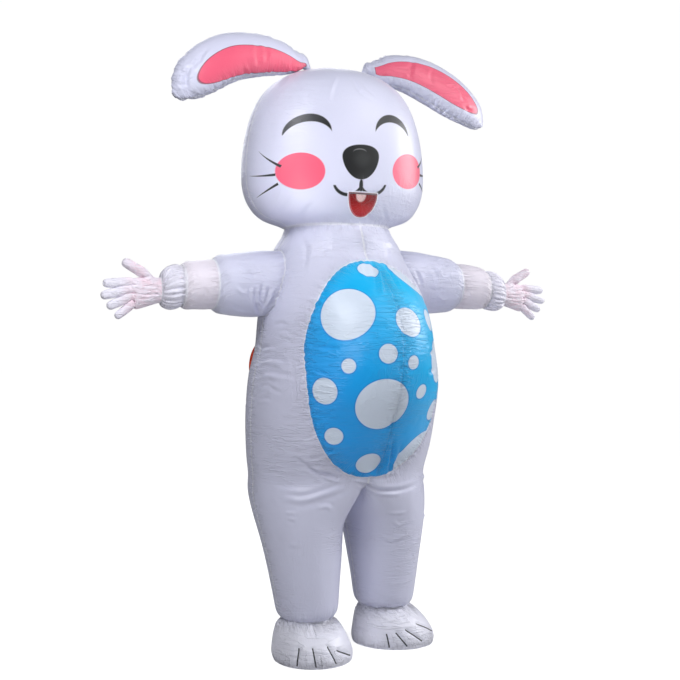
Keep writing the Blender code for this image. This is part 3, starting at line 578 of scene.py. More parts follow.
CREASES = seen_from(
    FRONT_RIGHT,
    ([(-.251, .957), (-.230, .976), (-.189, .982)], .0060, .0034),
    ([(-.241, .947), (-.212, .961), (-.180, .956)], .0050, .0026),
    ([(-.243, .926), (-.205, .943), (-.150, .937)], .0060, .0034),
    ([(-.258, .910), (-.219, .917), (-.165, .911)], .0055, .0028),
    ([(-.251, .887), (-.209, .902), (-.170, .898), (-.120, .890)], .0065, .0036),
    ([(-.245, .868), (-.215, .876), (-.180, .872)], .0050, .0024),
    ([(-.256, .836), (-.226, .860), (-.192, .854)], .0060, .0036),
    ([(-.244, .832), (-.203, .848), (-.165, .840)], .0055, .0026),
    ([(-.250, .812), (-.222, .820), (-.198, .816)], .0050, .0020),
    ([(-.192, 1.047), (-.167, 1.052), (-.145, 1.043)], .0055, .0020),
    ([(-.178, 1.026), (-.156, 1.028), (-.134, 1.020)], .0055, .0022),
    ([(-.172, 1.005), (-.150, 1.000), (-.132, .990)], .0055, .0018),
    ([(-.159, 1.203), (-.164, 1.161), (-.180, 1.120)], .0070, .0022),
    ([(-.150, 1.215), (-.148, 1.180), (-.158, 1.140)], .0060, .0015),
    ([(-.082, .990), (-.046, .978), (.004, .977)], .0060, .0044),
    ([(-.080, .984), (-.058, .968), (-.030, .966)], .0050, .0022),
    ([(-.081, .916), (-.036, .902), (-.012, .896)], .0060, .0026),
    ([(-.078, .900), (-.052, .892)], .0050, .0018),
    ([(-.030, .664), (-.002, .670)], .0060, .0036),
    ([(.000, .628), (.030, .621)], .0055, .0028),
    ([(.112, 1.244), (.123, 1.198), (.124, 1.140)], .0070, .0034),
    ([(.134, 1.243), (.144, 1.189), (.157, 1.135)], .0065, .0030),
    ([(.150, 1.236), (.173, 1.197), (.189, 1.158)], .0060, .0030),
    ([(.095, 1.246), (.092, 1.215), (.098, 1.180)], .0055, .0020),
    ([(.165, .592), (.173, .636), (.177, .705)], .0070, .0046),
    ([(.149, .600), (.154, .655)], .0060, .0030),
    ([(.182, .600), (.196, .645), (.200, .680)], .0055, .0026),
    ([(-.077, 1.024), (-.040, 1.030)], .0050, .0016),
    ([(-.074, 1.066), (-.046, 1.054)], .0050, .0016),
    ([(.189, .965), (.193, .923), (.202, .880)], .0060, .0024),
    ([(.145, .730), (.169, .747), (.175, .780)], .0060, .0026),
    ([(-.104, .614), (-.058, .594), (-.007, .588)], .0065, .0032),
    ([(-.053, .596), (-.023, .588), (.018, .574)], .0060, .0044),
    ([(-.032, .621), (-.002, .612), (.018, .598)], .0055, .0034),
    ([(-.093, .622), (-.068, .599), (-.033, .572)], .0060, .0026),
    ([(-.120, .640), (-.095, .622), (-.070, .618)], .0060, .0022),
    ([(-.156, .513), (-.104, .510), (-.043, .526), (.023, .547)], .0090, -.0034),
    ([(-.150, .524), (-.100, .522), (-.043, .538), (.010, .556)], .0070, .0020),
    ([(-.183, .552), (-.131, .552), (-.079, .556)], .0080, .0016),
    ([(-.153, .468), (-.119, .469)], .0055, -.0018),
    ([(-.148, .452), (-.122, .451)], .0050, -.0014),
    ([(-.053, .485), (-.028, .489), (-.012, .478)], .0060, -.0022),
    ([(-.147, .370), (-.103, .373)], .0070, -.0014),
    ([(.049, .564), (.080, .554), (.122, .535), (.154, .527), (.208, .525), (.255, .533)],
     .0075, .0050),
    ([(.060, .556), (.104, .536), (.150, .518), (.200, .514)], .0070, -.0028),
    ([(.069, .591), (.127, .568), (.185, .574)], .0065, .0030),
    ([(.052, .578), (.090, .568), (.118, .556)], .0055, .0034),
    ([(.092, .516), (.138, .508), (.170, .510)], .0060, .0018),
    ([(.166, .452), (.193, .450), (.221, .451)], .0050, -.0022),
    ([(.183, .420), (.202, .408), (.221, .415)], .0055, -.0022),
    ([(.152, .364), (.179, .358), (.222, .369)], .0055, -.0022),
    ([(.150, .375), (.182, .372)], .0050, .0012),
    ([(.001, 1.826), (-.014, 1.777), (-.022, 1.738)], .0070, -.0018),
    ([(.051, 1.822), (.076, 1.777), (.114, 1.755)], .0070, .0018),
    ([(.085, 1.815), (.100, 1.790), (.122, 1.772)], .0060, .0014),
    ([(-.138, 1.817), (-.111, 1.769), (-.098, 1.725)], .0110, .0016),
    ([(-.176, 1.388), (-.155, 1.416), (-.136, 1.446)], .0070, .0024),
    ([(-.113, 1.372), (-.089, 1.403), (-.068, 1.424)], .0070, .0022),
    ([(-.205, 1.420), (-.185, 1.450), (-.176, 1.478)], .0065, .0018),
    ([(.167, 1.374), (.152, 1.405), (.145, 1.432)], .0065, .0020),
    ([(.110, 1.370), (.104, 1.392), (.106, 1.414)], .0060, .0016),
    ([(-.113, 1.334), (-.093, 1.281), (-.098, 1.215)], .0090, .0022),
    ([(.153, 1.318), (.165, 1.285), (.160, 1.244)], .0075, .0020),
    ([(-.018, 1.330), (-.024, 1.279), (-.016, 1.240)], .0080, .0014),
) + seen_from(
    # The rabbit's left side, and the back: like creases at the waist, under the arms, across the
    # seat and the backs of the knees, and from the zip and the blower.
    LEFT,
    ([(-.090, .925), (-.040, .936), (.020, .930)], .0065, .0030),
    ([(-.070, .900), (-.015, .905), (.035, .896)], .0060, .0026),
    ([(-.100, .872), (-.050, .880), (.005, .871)], .0065, .0032),
    ([(-.020, .846), (.030, .852)], .0055, .0020),
    ([(-.060, 1.040), (-.010, 1.030), (.045, 1.036)], .0065, .0024),
    ([(-.035, 1.008), (.020, 1.000)], .0060, .0022),
    ([(-.080, .560), (-.020, .548), (.050, .556)], .0075, -.0026),
    ([(-.040, .420), (.030, .414)], .0060, -.0016),
) + seen_from(
    RIGHT,
    ([(-.120, .520), (-.060, .510), (.010, .516)], .0080, -.0028),
    ([(-.080, .405), (-.010, .398)], .0060, .0018),
    ([(-.060, .790), (.000, .800), (.050, .794)], .0060, .0026),
    ([(-.040, .764), (.020, .770)], .0055, .0020),
) + seen_from(
    BLOWER_SIDE,
    ([(-.066, .965), (-.100, .990), (-.140, 1.000)], .0065, .0032),
    ([(-.066, .920), (-.110, .912), (-.150, .916)], .0060, .0030),
    ([(-.060, .890), (-.095, .866), (-.125, .858)], .0060, .0026),
    ([(.066, .950), (.110, .962), (.150, .958)], .0065, .0032),
    ([(.064, .912), (.120, .902), (.165, .906)], .0065, .0030),
    ([(.040, .872), (.062, .842), (.070, .806)], .0060, .0026),
    ([(-.020, .866), (-.030, .826), (-.022, .795)], .0055, .0020),
    ([(.030, .992), (.044, 1.024), (.040, 1.060)], .0060, .0024),
    ([(-.024, .995), (-.036, 1.030)], .0055, .0020),
) + seen_from(
    BACK,
    ([(.016, 1.240), (.060, 1.232), (.100, 1.240)], .0065, .0026),
    ([(-.016, 1.205), (-.070, 1.196), (-.120, 1.206)], .0065, .0028),
    ([(.016, 1.120), (.058, 1.128)], .0055, .0020),
    ([(-.016, 1.060), (-.062, 1.052), (-.096, 1.056)], .0060, .0024),
    ([(.016, .985), (.066, .978), (.110, .984)], .0060, .0028),
    ([(-.016, .930), (-.052, .938)], .0055, .0022),
    ([(.016, .860), (.052, .850), (.098, .852)], .0060, .0026),
    ([(-.016, .800), (-.064, .806), (-.106, .798)], .0060, .0026),
    ([(.016, .740), (.044, .746)], .0055, .0020),
    ([(-.014, .690), (-.052, .676), (-.094, .672)], .0065, .0030),
    ([(.012, .640), (.060, .612), (.104, .600)], .0070, .0034),
    ([(-.010, .606), (-.060, .580), (-.120, .566), (-.180, .572)], .0075, .0036),
    ([(.010, .570), (.070, .548), (.140, .540), (.200, .550)], .0080, .0038),
    ([(-.020, .545), (-.080, .524), (-.140, .522)], .0075, -.0030),
    ([(.030, .530), (.084, .508), (.130, .508)], .0070, -.0024),
    ([(.080, .400), (.130, .394), (.180, .402)], .0070, -.0022),
    ([(-.090, .382), (-.140, .374), (-.190, .380)], .0070, -.0024),
    ([(-.100, .350), (-.150, .346)], .0060, .0018),
    ([(.100, .345), (.160, .352)], .0060, .0016),
    ([(-.100, 1.370), (-.118, 1.410), (-.112, 1.446)], .0070, .0024),
    ([(.060, 1.368), (.072, 1.404), (.064, 1.440)], .0070, .0022),
    ([(-.020, 1.366), (-.012, 1.398)], .0060, .0018),
    ([(.140, 1.374), (.150, 1.412)], .0060, .0018),
    ([(.060, 1.826), (.074, 1.780), (.108, 1.748)], .0070, .0020),
    ([(-.050, 1.824), (-.062, 1.776), (-.090, 1.750)], .0070, .0020),
)
SAMPLE_STEP = 0.004


def smooth_line(corners):
    """Points every few millimetres along a curve through these corners."""
    corners = [corners[0] * 2 - corners[1]] + corners + [corners[-1] * 2 - corners[-2]]
    line = []
    for a, b, c, d in zip(corners, corners[1:], corners[2:], corners[3:]):
        count = max(2, int((c - b).length / SAMPLE_STEP))
        for k in range(count):
            t = k / count
            line.append(0.5 * (
                b * 2 + (c - a) * t + (a * 2 - b * 5 + c * 4 - d) * t ** 2
                + (b * 3 - a - c * 3 + d) * t ** 3
            ))
    return line + [corners[-2]]


def creased(points, tree, creases):
    """How far each point sinks into the creases, with a low ridge along one side of each."""
    sink = np.zeros(len(points))
    for number, crease in enumerate(creases):
        turn = math.radians(crease.turn)
        across = Vector((math.cos(turn), math.sin(turn), 0))
        inward = Vector((-math.sin(turn), math.cos(turn), 0))
        corners = [across * u + Vector((0, 0, FLOOR + h)) for u, h in crease.points]
        line = []
        for place in smooth_line(corners):
            hit = tree.ray_cast(place - inward * 2, inward)[0]
            if hit:
                line.append(hit)
        if len(line) < 3:
            continue
        line = np.array(line)
        near = np.flatnonzero(close_to(points, line, 4 * crease.width))
        if not len(near):
            continue
        gaps = points[near][:, None, :] - line[None, :, :]
        squares = np.einsum("ijk,ijk->ij", gaps, gaps)
        nearest = squares.argmin(axis=1)
        away = np.sqrt(squares[np.arange(len(near)), nearest])
        share = nearest / (len(line) - 1)
        taper = np.clip(np.sin(np.pi * np.clip(share * 0.94 + 0.03, 0, 1)), 0, 1) ** 0.7
        above = np.sign(points[near][:, 2] - line[nearest][:, 2]) * (1 if number % 2 else -1)
        signed = away * np.where(above == 0, 1, above) / crease.width
        sink[near] += CREASE_DEPTH * crease.depth * taper * fold(signed, ridge=0.42)
    return sink


rng = np.random.default_rng(7)
shell.verts.index_update()
found = seam_runs(shell)
runs = [(link, np.array([vertex.co for vertex in run])) for link, run in found]
run_numbers = [[vertex.index for vertex in run] for _, run in found]
shell.normal_update()
tree = BVHTree.FromBMesh(shell)
shell.to_mesh(skin.data)
shell.free()
points, normals = points_of(skin.data), normals_of(skin.data)
seams = SeamMap(points, normals, runs)
sink = puckered(seams, rng) + creased(points, tree, CREASES)
skin_points = points - normals * sink[:, None]
set_points(skin.data, skin_points)


def keep_seam_map(mesh, seams):
    """Stores how far along and away from its nearest seam each point lies, for stitches and crinkles."""
    store = mesh.attributes.new("seam", "FLOAT_VECTOR", "POINT")
    rows = np.stack([seams.along, seams.away, seams.run * RUN_SPACING], axis=1)
    store.data.foreach_set("vector", rows.astype(np.float32).ravel())
    store = mesh.attributes.new("apart", "FLOAT", "POINT")
    store.data.foreach_set("value", seams.apart.astype(np.float32))


keep_seam_map(skin.data, seams)

# ---- Cloth finishes -------------------------------------------------------------------------------
# Coated satin polyester: a fine even weave, a soft shine, small wrinkles in patches that are greyed
# with painted shade, crinkles and stitches beside the seams, and a pale doubled edge along them.


def fill(socket, value):
    """Links another node's socket to this one, or gives it a value of its own."""
    if isinstance(value, bpy.types.NodeSocket):
        socket.id_data.links.new(value, socket)
    else:
        socket.default_value = value


def new_node(kind, *values):
    """A node in the tree that the sockets among these values belong to."""
    tree = next(value.id_data for value in values if isinstance(value, bpy.types.NodeSocket))
    return tree.nodes.new(f"ShaderNode{kind}")


def calc(operation, *values):
    """A Math node on these sockets and numbers."""
    node = new_node("Math", *values)
    node.operation = operation
    for socket, value in zip(node.inputs, values):
        fill(socket, value)
    return node.outputs[0]


def times(first, second):
    return calc("MULTIPLY", first, second)


def plus(first, second):
    return calc("ADD", first, second)


def minus(first, second):
    return calc("SUBTRACT", first, second)


def size_of(value):
    return calc("ABSOLUTE", value)


def ramped(value, low, high, start=0.0, end=1.0):
    """A smooth step of a value between two limits."""
    node = new_node("MapRange", value)
    node.interpolation_type = "SMOOTHSTEP"
    fill(node.inputs["Value"], value)
    for name, number in (
        ("From Min", low), ("From Max", high), ("To Min", start), ("To Max", end),
    ):
        node.inputs[name].default_value = number
    return node.outputs["Result"]


def scaled(vector, scale):
    node = new_node("VectorMath", vector)
    node.operation = "MULTIPLY"
    fill(node.inputs[0], vector)
    node.inputs[1].default_value = scale
    return node.outputs["Vector"]


def noise(vector, scale, detail=2.0):
    node = new_node("TexNoise", vector)
    fill(node.inputs["Vector"], vector)
    node.inputs["Scale"].default_value = scale
    node.inputs["Detail"].default_value = detail
    return node.outputs["Fac"]


def combined(*values):
    node = new_node("CombineXYZ", *values)
    for socket, value in zip(node.inputs, values):
        fill(socket, value)
    return node.outputs["Vector"]


def separated(vector):
    node = new_node("SeparateXYZ", vector)
    fill(node.inputs["Vector"], vector)
    return node.outputs


def mixed(mask, first, second):
    """A colour between two others."""
    node = new_node("Mix", mask)
    node.data_type = "RGBA"
    fill(node.inputs[0], mask)
    for socket, value in ((node.inputs[6], first), (node.inputs[7], second)):
        fill(socket, (*value, 1) if isinstance(value, tuple) else value)
    return node.outputs[2]


def object_place(tree):
    return tree.nodes.new("ShaderNodeTexCoord").outputs["Object"]


def attribute(tree, name):
    node = tree.nodes.new("ShaderNodeAttribute")
    node.attribute_name = name
    return node


def new_group(name, inputs, outputs):
    """A shader group with these named sockets, and its input and output nodes."""
    group = bpy.data.node_groups.new(name, "ShaderNodeTree")
    for socket, (kind, value) in inputs.items():
        made = group.interface.new_socket(socket, in_out="INPUT", socket_type=f"NodeSocket{kind}")
        made.default_value = value
    for socket, kind in outputs.items():
        group.interface.new_socket(socket, in_out="OUTPUT", socket_type=f"NodeSocket{kind}")
    return group, group.nodes.new("NodeGroupInput").outputs, group.nodes.new("NodeGroupOutput").inputs


WHITE = (0.735, 0.745, 0.915)
SEAM_WHITE = (0.89, 0.90, 1.0)
# A grey for the painted shade of the small wrinkles.
WRINKLE_SHADE_WHITE = (0.60, 0.62, 0.76)
THREAD = (0.55, 0.57, 0.72)
STITCH_ROW = 0.0042
STITCH_STEP = 0.0026
satin, given, put = new_group(
    "Satin cloth",
    {
        "Colour": ("Color", (*WHITE, 1)), "Seam Colour": ("Color", (*SEAM_WHITE, 1)),
        "Seam Strength": ("Float", 0.8), "Roughness": ("Float", 0.42),
        "Wrinkles": ("Float", 1.0), "Crinkles": ("Float", 1.0),
    },
    {"Colour": "Color", "Roughness": "Float", "Height": "Float"},
)
place = object_place(satin)
along, away, run = separated(attribute(satin, "seam").outputs["Vector"])
# Wrinkles lie mostly level, in patches, and a few run upright.
patches = ramped(noise(scaled(place, (3.2, 3.2, 4.6)), 1.0, 1.0), 0.41, 0.62)
uprights = ramped(noise(scaled(place, (2.6, 2.6, 2.0)), 1.4, 1.0), 0.52, 0.70)
level = minus(noise(scaled(place, (9, 9, 62)), 1.0, 2.5), 0.5)
upright = minus(noise(scaled(place, (44, 44, 6)), 1.0, 2.0), 0.5)
broad = minus(noise(place, 11.0, 2.0), 0.5)
level = times(times(level, patches), 0.0052)
upright = times(times(upright, uprights), 0.0040)
wrinkles = plus(plus(level, upright), times(broad, 0.0060))
fine = minus(noise(scaled(place, (13, 13, 78)), 1.0, 1.5), 0.5)
slant = minus(noise(scaled(place, (34, 34, 17)), 1.0, 1.5), 0.5)
for folds, where, depth in ((fine, patches, 0.0013), (slant, uprights, 0.0011)):
    sharp = ramped(size_of(folds), 0.0, 0.045, depth, 0.0)
    wrinkles = plus(wrinkles, times(sharp, where))
wrinkles = times(wrinkles, given["Wrinkles"])
# Crinkles run away from the seams, and fade out within a hand's breadth.
near = calc("POWER", ramped(away, 0.0, 0.075, 1.0, 0.0), 1.4)
lines = combined(times(along, 120.0), times(away, 15.0), run)
crinkles = minus(noise(lines, 1.0, 2.0), 0.5)
sharp = ramped(size_of(crinkles), 0.0, 0.06, 0.0013, 0.0)
crinkles = plus(times(crinkles, 0.0042), sharp)
crinkles = times(crinkles, near)
crinkles = times(crinkles, attribute(satin, "apart").outputs["Fac"])
crinkles = times(crinkles, given["Crinkles"])
# A row of stitches on each side of the seam.
row = ramped(size_of(minus(away, STITCH_ROW)), 0.0003, 0.0009, 1.0, 0.0)
dash = ramped(calc("SINE", times(along, 2 * math.pi / STITCH_STEP)), -0.3, 0.3)
stitches = times(row, dash)
weave = times(noise(place, 1500.0, 0.0), 0.00006)
height = plus(plus(wrinkles, crinkles), weave)
fill(put["Height"], minus(height, times(row, 0.0004)))
edge = times(ramped(away, 0.0022, 0.0056, 1.0, 0.0), given["Seam Strength"])
# The wrinkled patches are painted a little greyer: painted shade of the small wrinkles.
wear_and_wrinkle_shade = times(patches, 0.05)
shaded = mixed(wear_and_wrinkle_shade, given["Colour"], WRINKLE_SHADE_WHITE)
seamed = mixed(edge, shaded, given["Seam Colour"])
fill(put["Colour"], mixed(times(stitches, 0.22), seamed, THREAD))
rough = plus(given["Roughness"], times(broad, 0.10))
fill(put["Roughness"], plus(rough, times(stitches, 0.2)))


def new_material(name, **constants):
    """A material's tree and its shader, with constants on the shader's own sockets."""
    made = bpy.data.materials.new(name)
    made.use_nodes = True
    shader = made.node_tree.nodes["Principled BSDF"]
    for socket, value in constants.items():
        shader.inputs[socket.replace("_", " ")].default_value = value
    return made, made.node_tree, shader


def bumped(shader, height):
    """Turns a height in metres into the shader's normal."""
    bump = new_node("Bump", height)
    bump.inputs["Strength"].default_value = 1.0
    bump.inputs["Distance"].default_value = 1.0
    fill(bump.inputs["Height"], height)
    fill(shader.inputs["Normal"], bump.outputs["Normal"])


def cloth_material(name, colour=WHITE, seam=SEAM_WHITE, edge=0.9, roughness=0.40, wrinkles=1.0,
                   crinkles=1.0, printed=None, coat=0.22):
    """A satin cloth. A print is a function that puts more colours over the cloth's own one."""
    made, tree, shader = new_material(
        name, Sheen_Weight=0.12, Sheen_Roughness=0.4, Coat_Weight=coat, Coat_Roughness=0.30,
        Specular_IOR_Level=0.42,
    )
    group = tree.nodes.new("ShaderNodeGroup")
    group.node_tree = satin
    for socket, value in (
        ("Seam Colour", (*seam, 1)), ("Seam Strength", edge), ("Roughness", roughness),
        ("Wrinkles", wrinkles), ("Crinkles", crinkles),
    ):
        group.inputs[socket].default_value = value
    fill(group.inputs["Colour"], printed(tree) if printed else (*colour, 1))
    fill(shader.inputs["Base Color"], group.outputs["Colour"])
    fill(shader.inputs["Roughness"], group.outputs["Roughness"])
    bumped(shader, group.outputs["Height"])
    return made


# The face is printed on the head's front: closed smiling eyes, a nose, cheeks, whiskers and a mouth
# line above the vision window. It is drawn in metres, across round the head from the face's middle
# and up as the level in the frame.
FACE_RADIUS = 0.27
FACE_MIDDLE = -0.010
EYES_SHIFT = 0.024
INK = (0.012, 0.013, 0.014)
CHARCOAL = (0.040, 0.041, 0.043)
NOSE_SHINE = (0.30, 0.30, 0.31)
ROSE = (0.94, 0.130, 0.225)
ROSE_LINE = (0.16, 0.03, 0.05)


def oval(across, up, centre, half_width, half_height, soft=0.0016, tilt=0.0):
    """A mask inside an oval; tilt turns it, in radians."""
    u = minus(across, centre[0])
    v = minus(up, centre[1])
    if tilt:
        cos, sin = math.cos(tilt), math.sin(tilt)
        turned_u = plus(times(u, cos), times(v, sin))
        v = minus(times(v, cos), times(u, sin))
        u = turned_u
    u = calc("DIVIDE", u, half_width)
    v = calc("DIVIDE", v, half_height)
    far = calc("SQRT", plus(times(u, u), times(v, v)))
    edge = soft / min(half_width, half_height)
    return ramped(far, 1 - edge, 1 + edge, 1.0, 0.0)


def without(mask, hole):
    return times(mask, minus(1.0, hole))


def either(*masks):
    whole = masks[0]
    for mask in masks[1:]:
        whole = calc("MAXIMUM", whole, mask)
    return whole


def hair(across, up, root, tip, width):
    """A whisker that tapers from its root to its tip."""
    line = Vector(tip) - Vector(root)
    cos, sin = line.x / line.length, line.y / line.length
    u = minus(across, root[0])
    v = minus(up, root[1])
    far = plus(times(u, cos), times(v, sin))
    aside = minus(times(v, cos), times(u, sin))
    share = calc("DIVIDE", far, line.length)
    bow = times(minus(share, times(share, share)), 0.012)
    aside = size_of(plus(aside, bow))
    half = times(minus(1.05, share), width)
    inside = ramped(minus(aside, half), -0.0008, 0.0008, 1.0, 0.0)
    ends = times(calc("GREATER_THAN", share, 0.0), calc("LESS_THAN", share, 1.0))
    return times(inside, ends)


def face_print(tree):
    """The face in ink, rose and charcoal, on the cloth's white."""
    x, y, z = separated(object_place(tree))
    turn = calc("ARCTAN2", minus(x, FACE_MIDDLE), times(y, -1.0))
    across = minus(times(turn, FACE_RADIUS), FACE_MIDDLE)
    up = minus(z, times(across, 0.05))
    aside = size_of(across)
    from_eyes = size_of(plus(across, EYES_SHIFT))
    eye = without(
        oval(from_eyes, up, (0.166, 0.348), 0.079, 0.058),
        oval(from_eyes, up, (0.163, 0.321), 0.085, 0.060),
    )
    eye = times(eye, ramped(up, 0.341, 0.346))
    cheek = oval(aside, up, (0.210, 0.229), 0.077, 0.056, tilt=0.10)
    v = calc("DIVIDE", minus(up, 0.252), 0.054)
    wide = plus(0.070, times(v, 0.019))
    u = calc("DIVIDE", across, wide)
    u, v = (calc("POWER", size_of(part), 2.3) for part in (u, v))
    nose = ramped(calc("SQRT", plus(u, v)), 0.97, 1.03, 1.0, 0.0)
    shine = without(
        oval(across, up, (-0.006, 0.284), 0.026, 0.0100, 0.0014),
        oval(across, up, (-0.006, 0.2805), 0.029, 0.0100, 0.0014),
    )
    grey = oval(across, up, (0.004, 0.262), 0.030, 0.022, 0.014)
    smile = without(
        oval(aside, up, (0.051, 0.188), 0.0560, 0.0410),
        oval(aside, up, (0.050, 0.1985), 0.0520, 0.0415),
    )
    smile = times(smile, ramped(up, 0.184, 0.180))
    lip = oval(across, up, (0.000, 0.178), 0.0080, 0.0220)
    hairs = either(
        hair(aside, up, (0.268, 0.247), (0.345, 0.305), 0.0040),
        hair(aside, up, (0.286, 0.224), (0.388, 0.236), 0.0038),
        hair(aside, up, (0.280, 0.196), (0.374, 0.166), 0.0038),
    )
    front = ramped(y, -0.02, 0.0, 1.0, 0.0)
    cloth = mixed(times(cheek, front), WHITE, ROSE)
    ink = times(either(eye, smile, lip, hairs), front)
    cloth = mixed(ink, cloth, INK)
    cloth = mixed(nose, cloth, mixed(times(grey, 0.5), INK, CHARCOAL))
    return mixed(times(shine, 0.55), cloth, NOSE_SHINE)


# The belly's blue cloth is printed with white spots of mixed sizes, each with a thin darker rim.
AZURE = (0.002, 0.400, 1.000)
LIT_AZURE = (0.008, 0.590, 1.000)
SPOT_WHITE = (0.76, 0.86, 1.00)
SPOT_RIM = (0.006, 0.19, 0.66)
# Each spot's middle and radius.
SPOTS = [
    ((-0.020, -0.276, -0.086), 0.033), ((-0.125, -0.350, -0.222), 0.083), ((0.054, -0.401, -0.246), 0.047),
    ((-0.028, -0.424, -0.340), 0.029), ((-0.134, -0.380, -0.376), 0.022), ((0.058, -0.417, -0.366), 0.021),
    ((-0.184, -0.323, -0.450), 0.040), ((-0.026, -0.387, -0.492), 0.084), ((0.103, -0.383, -0.454), 0.023),
    ((-0.146, -0.301, -0.587), 0.028), ((-0.020, -0.274, -0.672), 0.040), ((0.150, -0.232, -0.082), 0.094),
    ((0.168, -0.335, -0.236), 0.036), ((0.196, -0.330, -0.366), 0.066), ((0.186, -0.300, -0.516), 0.034),
    ((0.158, -0.246, -0.662), 0.088),
]


def spot_print(tree):
    """White spots on a blue painted brighter towards the upper left, as painted light from the lamps."""
    place = object_place(tree)
    x, _, z = separated(place)
    nearest = None
    for centre, radius in SPOTS:
        node = new_node("VectorMath", place)
        node.operation = "DISTANCE"
        fill(node.inputs[0], place)
        fill(node.inputs[1], centre)
        far = minus(node.outputs["Value"], radius)
        nearest = far if nearest is None else calc("MINIMUM", nearest, far)
    # Painted light: the blue is lighter towards the top and the costume's left, where the lamps fall.
    rise = plus(times(x, 1.2), z)
    ground = mixed(ramped(rise, -0.75, 0.10), AZURE, LIT_AZURE)
    rim = ramped(size_of(minus(nearest, 0.0022)), 0.0, 0.0036, 0.5, 0.0)
    ground = mixed(rim, ground, SPOT_RIM)
    return mixed(ramped(nearest, -0.0012, 0.0012, 1.0, 0.0), ground, SPOT_WHITE)


def ear_print(tree):
    """Rose where the ear's own print map is negative, inside a fine dark line."""
    far = attribute(tree, "print").outputs["Fac"]
    line = ramped(size_of(far), 0.0004, 0.0014, 0.7, 0.0)
    cloth = mixed(ramped(far, -0.0008, 0.0008, 1.0, 0.0), WHITE, ROSE)
    return mixed(line, cloth, ROSE_LINE)


FILM_RED = (0.62, 0.004, 0.003)
FILM_SHADE = (0.22, 0.002, 0.002)
FILM_DOTS = (0.75, 0.10, 0.07)
TOOTH = (0.86, 0.62, 0.60)


def film_print(tree):
    """The vision window's red mesh, with a dark lip and a pale tooth printed at its top."""
    place = object_place(tree)
    x, _, z = separated(place)
    tooth = oval(x, z, (-0.016, 0.150), 0.0165, 0.0200, 0.003)
    speck = ramped(noise(place, 300.0, 1.0), 0.30, 0.50, 0.72, 1.0)
    deep = mixed(ramped(z, 0.085, 0.155), FILM_RED, FILM_SHADE)
    dots = ramped(noise(place, 260.0, 1.0), 0.60, 0.70)
    deep = mixed(times(dots, 0.12), deep, FILM_DOTS)
    film_cloth = mixed(times(tooth, speck), deep, TOOTH)
    lip = ramped(z, FLOOR + WINDOW_TOP - 0.0062, FLOOR + WINDOW_TOP - 0.0050)
    return mixed(lip, film_cloth, INK)


white_cloth = cloth_material("white_satin", wrinkles=0.85)
face_cloth = cloth_material("face_satin", printed=face_print, wrinkles=0.55)
spot_cloth = cloth_material(
    "spotted_satin", seam=(0.02, 0.16, 0.50), edge=0.05, printed=spot_print, crinkles=1.3,
    wrinkles=0.95, roughness=0.38, coat=0.08,
)
film = cloth_material("red_mesh", printed=film_print, seam=(0.86, 0.50, 0.54), edge=0.3, wrinkles=0.5,
                      roughness=0.5, coat=0.0)

# ---- Panels of head, body and legs ----------------------------------------------------------------
# Each panel is cut from the finished skin and given the thickness of cloth, inwards. The panels lie
# edge to edge along their seams. The back ones carry fewer faces.
CREASE_ANGLE = math.radians(55)
# Each panel's flat size and area, its slot and material, and the share of its faces that is kept.
PANEL_CUTS = {
    "head_front": ((0.98, 0.60), 0.450, "white_cloth", face_cloth, 0.9),
    "head_back": ((1.00, 0.62), 0.471, "white_cloth", white_cloth, 0.38),
    "body_front_right": ((0.56, 1.33), 0.421, "white_cloth", white_cloth, 1.0),
    "body_front_left": ((0.56, 1.33), 0.427, "white_cloth", white_cloth, 0.7),
    "body_back_right": ((0.47, 1.30), 0.504, "white_cloth", white_cloth, 0.42),
    "body_back_left": ((0.47, 1.30), 0.503, "white_cloth", white_cloth, 0.42),
    "belly_right": ((0.33, 0.75), 0.185, "spotted_cloth", spot_cloth, 1.0),
    "belly_left": ((0.27, 0.75), 0.146, "spotted_cloth", spot_cloth, 1.0),
    "vision_window": ((0.104, 0.078), 0.0065, "red_film", film, 1.0),
}


def dress(piece, material, angle):
    """Gives a piece its one material and smooth shading up to this angle."""
    piece.data.materials.clear()
    piece.data.materials.append(material)
    select_only(piece)
    bpy.ops.object.shade_smooth_by_angle(angle=angle)


def finish_cloth(piece, node, material, flat, area, slot, keep=1.0):
    """Thins out a cloth's faces, gives it a wall and its material, and stands it for its solid."""
    if keep < 1.0:
        apply_modifier(piece, "DECIMATE", ratio=keep)
    apply_modifier(piece, "SOLIDIFY", thickness=CLOTH, offset=-1.0)
    piece.name = piece.data.name = f"{node}_cloth"
    dress(piece, material, CREASE_ANGLE)
    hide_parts(node)
    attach(piece, "root")


select_only(skin)
bpy.ops.object.mode_set(mode="EDIT")
bpy.ops.mesh.select_all(action="SELECT")
bpy.ops.mesh.separate(type="MATERIAL")
bpy.ops.object.mode_set(mode="OBJECT")
for piece in list(bpy.context.selected_objects):
    slot_number = piece.data.polygons[0].material_index
    node = piece.data.materials[slot_number].name
    piece.data.polygons.foreach_set("material_index", [0] * len(piece.data.polygons))
    flat, area, slot, material, keep = PANEL_CUTS[node]
    finish_cloth(piece, node, material, flat, area, slot, keep=keep)

# ---- Sleeves --------------------------------------------------------------------------------------
# Each arm is an air-filled sleeve sewn round the armhole, then a thinner sheer lower sleeve, then a
# full cuff gathered on elastic at both of its ends.
ArmRing = namedtuple("ArmRing", "out forward height half_height half_depth")
SLEEVE = [
    ArmRing(0.300, -0.003, 1.178, 0.105, 0.094),
    ArmRing(0.345, 0.002, 1.176, 0.101, 0.097),
    ArmRing(0.385, 0.010, 1.175, 0.096, 0.094),
    ArmRing(0.418, 0.016, 1.174, 0.089, 0.088),
    ArmRing(0.434, 0.020, 1.173, 0.077, 0.077),
]
FORE_SLEEVE = [
    ArmRing(0.434, 0.020, 1.173, 0.0770, 0.0770),
    ArmRing(0.462, 0.026, 1.172, 0.0775, 0.0765),
    ArmRing(0.500, 0.034, 1.170, 0.0755, 0.0740),
    ArmRing(0.528, 0.040, 1.167, 0.0720, 0.0700),
    ArmRing(0.540, 0.043, 1.165, 0.0650, 0.0630),
]
